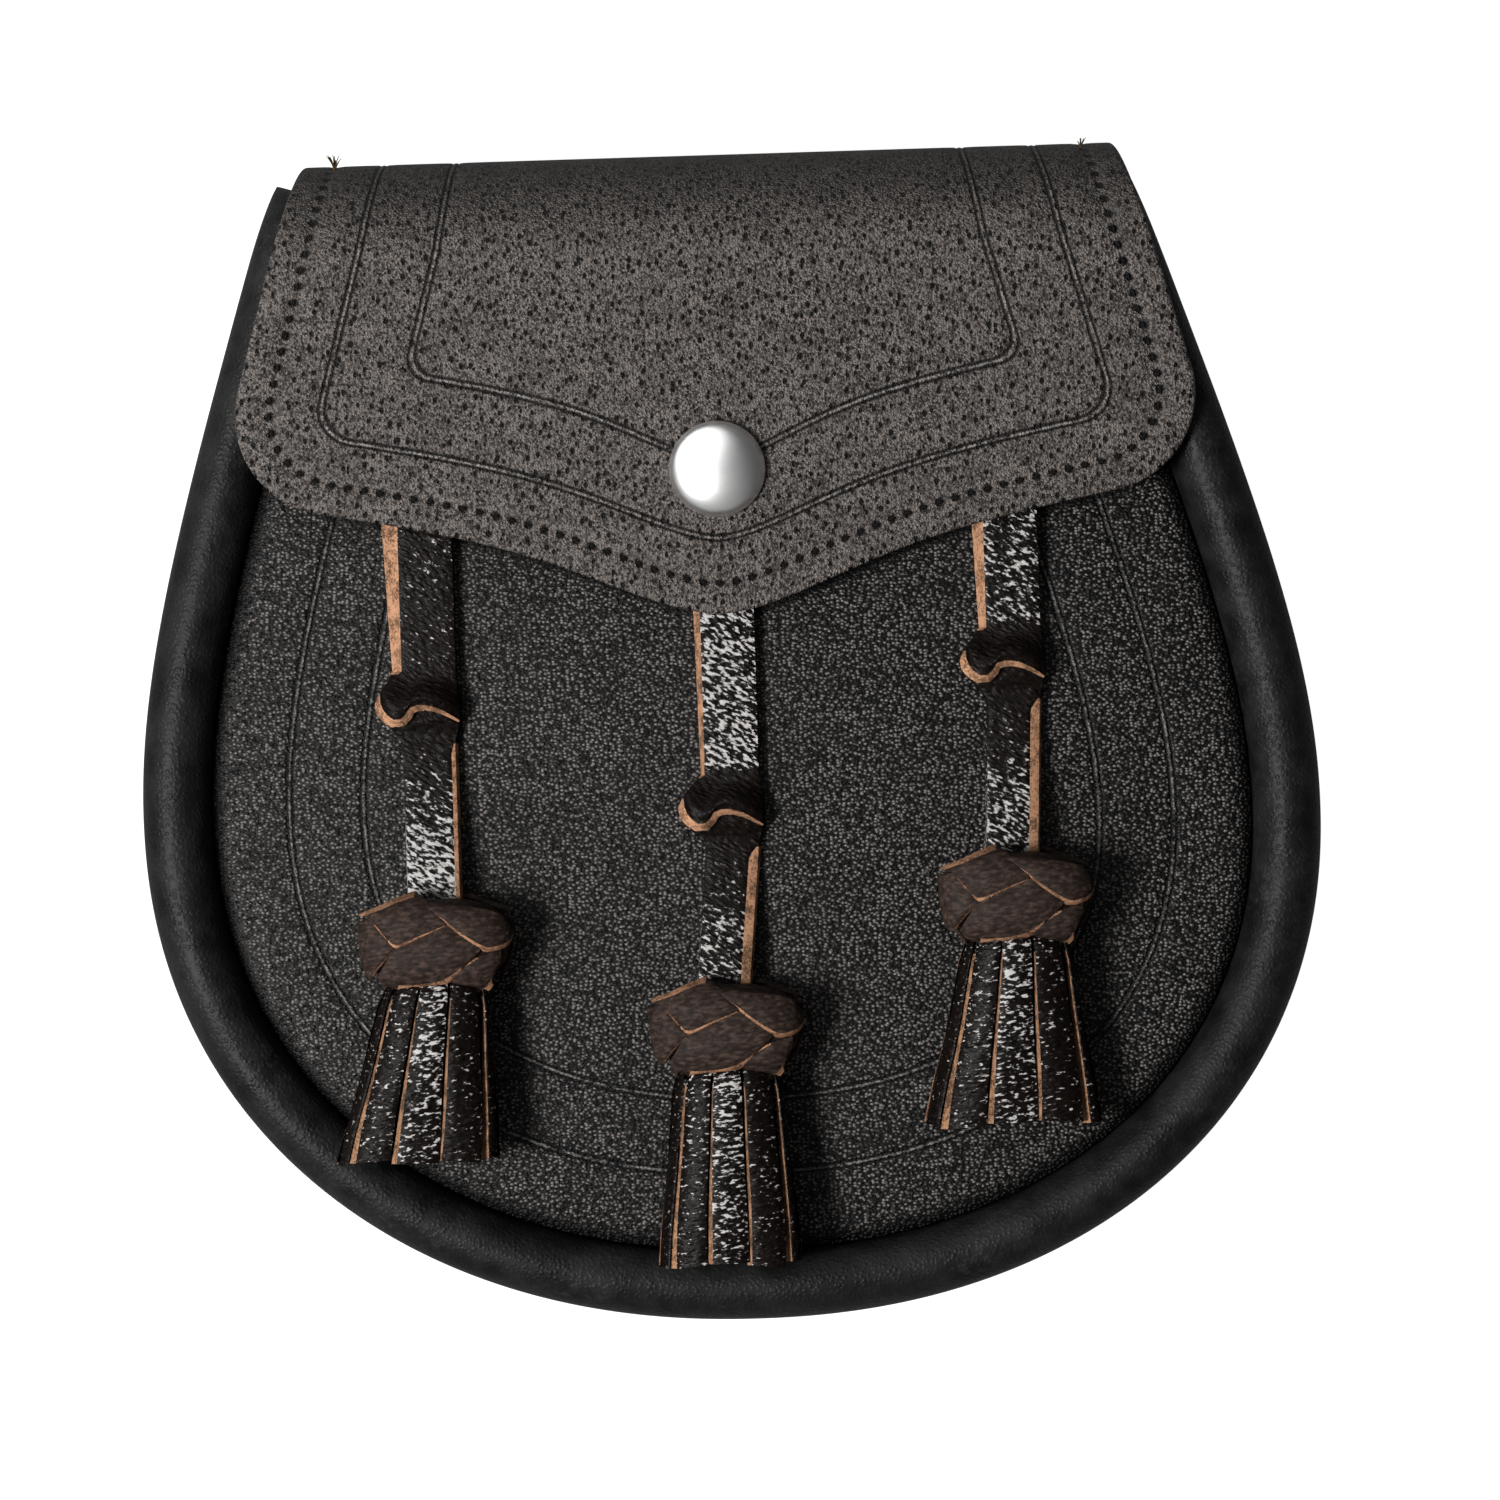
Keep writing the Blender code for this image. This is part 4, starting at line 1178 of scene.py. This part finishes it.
def make_belt_loop(name, material, sewing):
    """A strip with rounded bends, sewn down at both ends."""
    low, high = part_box(name)
    middle_x, middle_y = (low[0] + high[0]) / 2, (low[1] + high[1]) / 2
    half, reach = (high[0] - low[0]) / 2, (high[1] - low[1]) / 2
    top, bottom = high[2], low[2] + LOOP_WALL
    y = np.linspace(-reach, reach, 121)
    z = bottom + (top - bottom) * smooth_step((np.abs(y) - (reach - LOOP_TAB - LOOP_BEND)) / LOOP_BEND)
    corner = np.clip((np.abs(y) - (reach - LOOP_CORNER)) / LOOP_CORNER, 0, 1)
    width = half - LOOP_CORNER * (1 - np.sqrt(1 - corner**2))
    across = np.linspace(-1, 1, 15)
    soft = 0.35 * MM * np.abs(across) ** 6
    upper, lower = [], []
    for row_y, row_z, row_half in zip(middle_y + y, z, width):
        upper.append([(middle_x + s * row_half, row_y, row_z - 0.25 * e) for s, e in zip(across, soft)])
        low_half, low_z = row_half * 0.985, row_z - LOOP_WALL
        lower.append([(middle_x + s * low_half, row_y, low_z + e) for s, e in zip(across, soft)])
    shape = Shape()
    add_slab(shape, upper, lower, (1, 1, 1, 1))
    new_piece(name + "_strip", shape.mesh(name + "_strip", 40), material, "back_leather", name)
    near, far = (reach - seam for seam in LOOP_SEAM)
    side = half - LOOP_SEAM[0]
    box = [(-side, near), (side, near), (side, far), (-side, far), (-side, near)]
    for word, end in (("low", -1), ("high", 1)):
        points = [(middle_x + px, middle_y + end * py, top - LOOP_WALL - 0.02 * MM) for px, py in box]
        count = round(path_length(points) / LOOP_PITCH)
        sew(f"{name}_stitches_{word}", points, count, sewing, "back_leather", LOOP_GRAIN)


# Tassels


def strap_path_z(x, y):
    return panel_top(0.9 * x, y) + SEAM_GAP


def face_soft(share, depth):
    """How a face falls away at its two long edges."""
    off = np.abs(2 * share - 1)
    return depth * off**8


def make_upper_strap(shape, x, top_y, slit_y, edge_width, glint_paint):
    """The thong from under the flap to the cut end of its upper lobe."""
    u = np.linspace(0, 1, STRAP_COLUMNS)
    upper_end = slit_y + 0.50 * SLIT_LENGTH
    upper, lower = [], []
    for share in np.linspace(0, 1, 26):
        y = top_y + (upper_end - top_y) * share
        skive = STRAP_SKIVE * edge_width * (1.15 - 0.55 * share)
        left, right = x - STRAP_WIDTH / 2, x + STRAP_WIDTH / 2
        base = strap_path_z(x, y)
        z = base + STRAP_WALL - face_soft(u, FACE_SOFT)
        wide = left + (right - left) * u
        upper.append([(px, y, pz) for px, pz in zip(wide, z)])
        low = wide.copy()
        low[0] -= skive
        lower.append([(px, y, base) for px in low])
    edge = [(x + a * SLIT_WIDTH, slit_y + b * SLIT_LENGTH) for a, b in SLIT_EDGE]
    edge = resample(smooth_path(edge, STRAP_COLUMNS * 3), STRAP_COLUMNS)
    start = np.array([point[:2] for point in upper[-1]])
    normals = inward_normals(edge)
    rows = 14
    for r in range(1, rows + 1):
        share = r / rows
        ease = share**0.8
        bow = np.sin(math.pi * share) * 0.05 * SLIT_WIDTH
        flat = start + (edge - start) * ease
        flat[:, 0] -= bow * (1 - u) ** 2
        base = strap_path_z(x, slit_y)
        rise = smooth_step(share * 1.25)
        lobe = 1 - np.abs(2 * u - 1) ** 3.2 * 0.55
        top = base + STRAP_WALL + (SLIT_HEIGHT - STRAP_WALL + LOBE_RISE) * rise * lobe
        top -= face_soft(u, FACE_SOFT) + LOBE_RISE * smooth_step((share - 0.72) / 0.28) * (1 - 0.4 * u)
        bottom = top - STRAP_WALL * 0.8
        upper.append([(p[0], p[1], z) for p, z in zip(flat, top)])
        low = flat.copy()
        low[0, 0] -= STRAP_SKIVE * 0.6 * edge_width * max(0.0, 1 - 2.5 * share)
        if r == rows:
            ribbon = ((1.1 * MM * (1 - u) ** 0.8 + 0.35 * MM) * np.interp(u, (0, 0.12), (0.2, 1)))[:, None]
            low = low - normals * ribbon
            bottom = top - 1.5 * MM
        lower.append([(p[0], p[1], max(z, base)) for p, z in zip(low, bottom)])
    left_cut = [0.0] * (rows - 1) + [1.0] * (len(upper) - rows)
    painted_glints = [glint_paint] * 25 + [0.0] * (len(upper) - 25)
    add_slab(shape, upper, lower, (0, 0, 1, left_cut), painted_glints)


def make_lower_strap(shape, x, slit_y, knot_x, end_y, end_z, glint_paint, bevel):
    """The thong from under the lobe, widest where it is pulled through, down to the woven knot."""
    u = np.linspace(0, 1, STRAP_COLUMNS)
    start_y = slit_y + 0.24 * SLIT_LENGTH
    seat_y = slit_y - 0.5 * SLIT_LENGTH
    upper, lower = [], []
    for share in np.linspace(0, 1, 44):
        y = start_y + (end_y - start_y) * share
        past = max(0.0, (seat_y - y) / (seat_y - end_y))
        centre = x + (knot_x - x) * past
        swell = float(smooth_step((y - seat_y) / (0.42 * SLIT_LENGTH)))
        left = centre - STRAP_WIDTH / 2 - swell * 0.24 * SLIT_WIDTH
        right = centre + STRAP_WIDTH / 2 + swell * 0.07 * SLIT_WIDTH - 0.4 * MM
        raw = max(0.05 * MM, bevel * float(smooth_step((seat_y + 1.5 * MM - y) / (3 * MM))))
        climb = end_z - STRAP_WALL / 2 - strap_path_z(x, end_y)
        base = strap_path_z(x, y) + climb * float(smooth_step(past))
        dip = 0.7 * MM * math.exp(-(((y - seat_y - 1.8 * MM) / (1.5 * MM)) ** 2))
        thick = STRAP_WALL * (1 + 0.18 * swell) - dip
        soft = np.append(face_soft(np.linspace(0, 1, STRAP_COLUMNS - 1), FACE_SOFT), 0.6 * raw)
        z = base + thick - soft - 0.5 * MM * swell * np.abs(2 * u - 1) ** 2
        wide = np.append(np.linspace(left, right - raw, STRAP_COLUMNS - 1), right)
        upper.append([(px, y, pz) for px, pz in zip(wide, z)])
        low = wide.copy()
        low[-1] += 0.35 * MM
        low[0] -= 0.25 * MM
        lower.append([(px, y, base) for px in low])
    below = seat_y - np.array([row[0][1] for row in upper])
    right_cut = (below[1:] > 0).astype(float)
    painted_glints = glint_paint * smooth_step(below / (seat_y - end_y) * 1.2 + 0.12) * (below > 0)
    face_cut = np.zeros((len(upper) - 1, STRAP_COLUMNS - 1))
    face_cut[:, -1] = right_cut
    add_slab(shape, upper, lower, (0, right_cut, 0, 0), painted_glints, face_cut.ravel())


def barrel_height(across, along):
    """The knot's rounded face, as a share of its half depth."""
    sides = np.clip(1 - np.abs(across) ** 2.6, 0, 1) ** 0.42
    return sides * np.clip(1 - np.abs(along) ** 2.8, 0, 1) ** 0.36


def add_barrel(shape, x, y, z, width, length, depth):
    """The dark heart of a knot, under its bands."""
    rings, rows, around = [], 12, 32
    for r in range(rows + 1):
        along = math.cos(math.pi * (0.07 + 0.86 * r / rows)) / math.cos(math.pi * 0.07)
        girth = (1 - abs(along * 0.975) ** 2.6) ** (1 / 2.6)
        for k in range(around):
            turn = 2 * math.pi * k / around
            cos, sin = math.cos(turn), math.sin(turn)
            rings.append((
                x + width * girth * math.copysign(abs(cos) ** 0.86, cos),
                y + along * length,
                z + depth * girth * math.copysign(abs(sin) ** 0.86, sin),
            ))
    shape.add(rings, tube_faces(rows + 1, around))


def add_band(shape, centre, half, face, band):
    """One band of thong over the knot's face (1) or its back (-1)."""
    top_edge, low_edge, lift, top_cut, low_cut = band
    columns, rows = 29, 11
    across = np.concatenate(([0.0], np.linspace(0.055, 0.945, rows - 2), [1.0]))
    upper_edge, lower_edge = smooth_path(top_edge, columns), smooth_path(low_edge, columns)
    u = np.linspace(0, 1, columns)
    along = np.sin(math.pi * np.clip(u, 0.02, 0.98)) ** 0.5
    top = []
    for v in across:
        spot = upper_edge + (lower_edge - upper_edge) * v
        height = barrel_height(spot[:, 0] * 0.97, spot[:, 1] * 0.93) * half[2] * 0.86
        raised = (lift + 0.55 * (1 - abs(2 * v - 1) ** 2.5) * along) * MM
        top.append(np.column_stack((
            centre[0] + spot[:, 0] * half[0] * face,
            centre[1] + spot[:, 1] * half[1],
            centre[2] + (height + raised) * face,
        )))
    bottom = [row - (0, 0, face * 1.5 * MM) for row in top]
    middle = (u[:-1] + u[1:]) / 2
    cuts = []
    for edge, inner, stretch in ((0, 1, top_cut), (rows - 1, rows - 2, low_cut)):
        shown = ((u >= stretch[0]) & (u <= stretch[1]) & (stretch[1] > 0)).astype(float)
        outward = top[edge][:, :2] - top[inner][:, :2]
        outward /= np.hypot(outward[:, 0], outward[:, 1])[:, None] + 1e-9
        spread = (0.15 + 0.35 * shown)[:, None] * MM
        bottom[edge][:, :2] += outward * spread
        bottom[edge][:, 2] = top[edge][:, 2] - face * 0.9 * MM
        cuts.append(((middle >= stretch[0]) & (middle <= stretch[1])).astype(float))
    face_cut = np.zeros((rows - 1, columns - 1))
    face_cut[0], face_cut[-1] = cuts
    add_slab(shape, top, bottom, (cuts[0], 0, cuts[1][::-1], 0), 0.0, face_cut.ravel())


def make_knot(name, x, y, z, material):
    """A woven knot: bands of thong that cross over its face and its back."""
    shape = Shape()
    half = (KNOT_WIDTH / 2, KNOT_LENGTH / 2, KNOT_DEPTH / 2)
    add_barrel(shape, x, y, z, half[0] * 0.94, half[1] * 0.90, half[2] * 0.86)
    for face in (1, -1):
        for band in KNOT_BANDS:
            add_band(shape, (x, y, z), half, face, band)
    mesh = shape.mesh(f"knot_bands_{name}", 34)
    new_piece(f"knot_bands_{name}", mesh, material, "knot_leather", f"tassel_knot_{name}")


def fringe_half_width(along, fan):
    shares = np.interp(along, (0, 0.05, 0.14, 0.45, 0.8, 1.0), (0.56, 0.64, 0.70, 0.80, 0.94, 1.0))
    return FRINGE_WIDTH / 2 * shares * (1 + (fan - 1) * along)


def add_fringe_core(shape, centre, y, mid_z, half, depth):
    """The dark heart of a fringe, drawn in a little at its cut end."""
    around = 24
    core = []
    for k in range(len(y)):
        last = k == len(y) - 1
        inner = 0.965 if last else 1.0
        for turn in np.linspace(0, 2 * math.pi, around, endpoint=False):
            across = half[k] * 0.80 * inner * math.cos(turn)
            up = depth[k] * 0.62 * inner * math.sin(turn)
            core.append((centre[k] + across, y[k] + (0.8 * MM if last else 0), mid_z[k] + up))
    shape.add(core, tube_faces(len(y), around))


def make_fringe(name, x, top_y, top_z, end_y, end_z, sway, fan, material):
    """Cut strips round a head: five on the face and five behind."""
    shape = Shape()
    rows, columns = 22, 7
    along = np.linspace(0, 1, rows)
    y = top_y + (end_y - top_y) * along
    mid_z = top_z + (end_z - top_z) * along
    centre = x + sway * FRINGE_WIDTH * along
    half = fringe_half_width(along, fan)
    fullness = np.interp(along, (0, 0.05, 0.14, 0.45, 0.8, 1), (0.80, 1.02, 1.08, 1.03, 0.96, 0.92))
    depth = FRINGE_DEPTH / 2 * fullness
    add_fringe_core(shape, centre, y, mid_z, half, depth)
    left_cut = [1.0] * (rows - 3) + [0.0] * 2
    spread = np.linspace(-1, 1, columns)
    soft = face_soft(np.linspace(0, 1, columns), 0.25 * MM)
    for face in (1, -1):
        for number, (cut, start, end, glint_paint) in enumerate(FRINGE_CUTS):
            phase = number * 1.7 + (0.9 if face < 0 else 0.0) + x * 140
            trim = 0.35 * MM * math.sin(phase * 2.3)
            upper, lower = [], []
            for k in range(rows):
                wave = 0.018 * math.sin(along[k] * 5.0 + phase) * along[k]
                across = np.clip(np.linspace(start, end, columns) + wave, -1.0, 1.0)
                curl = 0.35 * MM * along[k] * math.sin(phase + along[k] * 2.2)
                bow = (1 - np.abs(across) ** 2.4) ** (1 / 2.4)
                top = depth[k] * bow + curl * spread - soft
                py = y[k] + trim * along[k] + 0.25 * MM * math.sin(phase) * spread * along[k]
                px = centre[k] + half[k] * across * face
                upper.append(np.column_stack((px, py, mid_z[k] + top * face)))
                low_x, low_z = px.copy(), top - 1.35 * MM
                open_share = 0.40 + 0.62 * along[k]
                low_x[0] = centre[k] + half[k] * (start + (cut - start) * open_share + wave) * face
                low_z[0] = top[0] - 0.95 * MM
                lower.append(np.column_stack((low_x, py, mid_z[k] + low_z * face)))
            add_slab(shape, upper, lower, (0, 0, 1, left_cut), glint_paint * (1 - 0.35 * along))
    mesh = shape.mesh(f"fringe_strips_{name}", 34)
    new_piece(f"fringe_strips_{name}", mesh, material, "fringe_leather", f"tassel_fringe_{name}")


def make_tassel(row, thong, knot_leather, fringe_leather):
    name, strap_x, strap_top, slit, knot_x, knot, fringe_end, sway, fan, lift = row
    edge_width, upper_glint_paint, lower_glint_paint, bevel = THONG_LOOKS[name]
    half_width, half_length = BODY_WIDTH / 2, BODY_LENGTH / 2
    x, middle_x = strap_x * half_width, knot_x * half_width
    slit_y, knot_y, end_y = slit * half_length, knot * half_length, fringe_end * half_length
    knot_z = float(panel_top(0.8 * middle_x, knot_y)) + SEAM_GAP + KNOT_DEPTH / 2
    knot_top = knot_y + KNOT_LENGTH / 2
    entry_z = min(knot_z, float(panel_top(x, knot_top)) + STRAP_WALL / 2 + STRAP_RISE)
    shape = Shape()
    make_upper_strap(shape, x, strap_top * half_length, slit_y, edge_width, upper_glint_paint)
    make_lower_strap(shape, x, slit_y, middle_x, knot_top - 1.0 * MM, entry_z, lower_glint_paint, bevel)
    mesh = shape.mesh(f"thong_{name}", 34)
    new_piece(f"thong_{name}", mesh, thong, "thong_leather", f"tassel_strap_{name}")
    make_knot(name, middle_x, knot_y, knot_z, knot_leather)
    end_z = float(panel_top(middle_x, end_y)) + SEAT_GAP + FRINGE_DEPTH * (0.5 + lift)
    top_y = knot_y - KNOT_LENGTH / 2 + 1.2 * MM
    make_fringe(name, middle_x, top_y, knot_z, end_y, end_z, sway, fan, fringe_leather)


# Stage, light and camera


def make_stage():
    mesh = bpy.data.meshes.new("floor")
    mesh.from_pydata([(-2, -2, 0), (2, -2, 0), (2, 2, 0), (-2, 2, 0)], [], [(0, 1, 2, 3)])
    floor = place_object("floor", mesh)
    material, wires, surface, _ = new_material("lit white table", 0.9, specular=0.0)
    wires.feed(surface.inputs["Base Color"], (0.20, 0.20, 0.20))
    seen = wires.node("ShaderNodeLightPath").outputs["Is Camera Ray"]
    wires.feed(surface.inputs["Emission Color"], wires.mix(seen, (0.10, 0.10, 0.10), (1, 1, 1)))
    surface.inputs["Emission Strength"].default_value = 1.0
    from_below = wires.node("ShaderNodeNewGeometry").outputs["Backfacing"]
    wires.feed(surface.inputs["Alpha"], wires.math("SUBTRACT", 1.0, from_below))
    mesh.materials.append(material)


def area_light(name, spot, size, power):
    light = bpy.data.lights.new(name, "AREA")
    light.shape = "DISK"
    light.size = size
    light.energy = power
    made = place_object(name, light)
    made.location = spot
    made.rotation_euler = (-Vector(spot)).to_track_quat("-Z", "Y").to_euler()
    return made


def make_lights():
    """A soft box on the left in a dim room that is brighter on that side and toward the foot."""
    world = bpy.data.worlds.new("studio")
    bpy.context.scene.world = world
    world.use_nodes = True
    wires = Wiring(world.node_tree)
    look = {0: wires.node("ShaderNodeTexCoord").outputs["Generated"], 1: BRIGHT_SIDE}
    toward = wires.node("ShaderNodeVectorMath", look, operation="DOT_PRODUCT").outputs["Value"]
    shade = world.node_tree.nodes["Background"].inputs
    wires.feed(shade["Color"], (1, 1, 1))
    wires.feed(shade["Strength"], wires.spread(toward, -0.4, 0.8, 0.06, 0.36))
    area_light("key", *KEY_LIGHT)
    area_light("card mirrored in the press stud", *STUD_CARD).visible_diffuse = False


def make_camera():
    camera = bpy.data.cameras.new("camera")
    camera.sensor_width = 36.0
    camera.lens = CAMERA_LENS
    made = place_object("camera", camera)
    made.location = CAMERA_SPOT
    made.rotation_euler = (0.0, 0.0, CAMERA_ROLL)
    bpy.context.scene.camera = made
    bpy.context.scene.view_settings.view_transform = "Standard"


def main():
    make_camera()
    make_lights()
    make_stage()
    sewing = stitch_tree(sewing_thread("waxed thread", (0.001, 0.001, 0.001), (0.009, 0.008, 0.008)))
    plain = (0.024, 0.023, 0.022), (0.045, 0.042, 0.040)
    nappa = (0.0035, 0.0034, 0.0034), (0.0125, 0.0122, 0.012)
    back = smooth_leather("back leather", *plain, 0.5, 1200.0, 0.09 * MM)
    make_gusset(smooth_leather("gusset nappa", *nappa, 0.46, 1500.0, 0.06 * MM))
    make_front_panel(panel_leather())
    make_back_panel(back)
    make_flap(flap_leather(), sewing)
    fray_threads(sewing_thread("frayed thread", (0.012, 0.007, 0.003), (0.09, 0.055, 0.022)))
    make_snap(steel("snap satin steel", 0.34), steel("stud steel", 0.34))
    for name in ("belt_loop_left", "belt_loop_right"):
        make_belt_loop(name, back, sewing)
    leathers = [thong_leather(*look) for look in TASSEL_LEATHERS]
    for row in TASSELS:
        make_tassel(row, *leathers)


main()
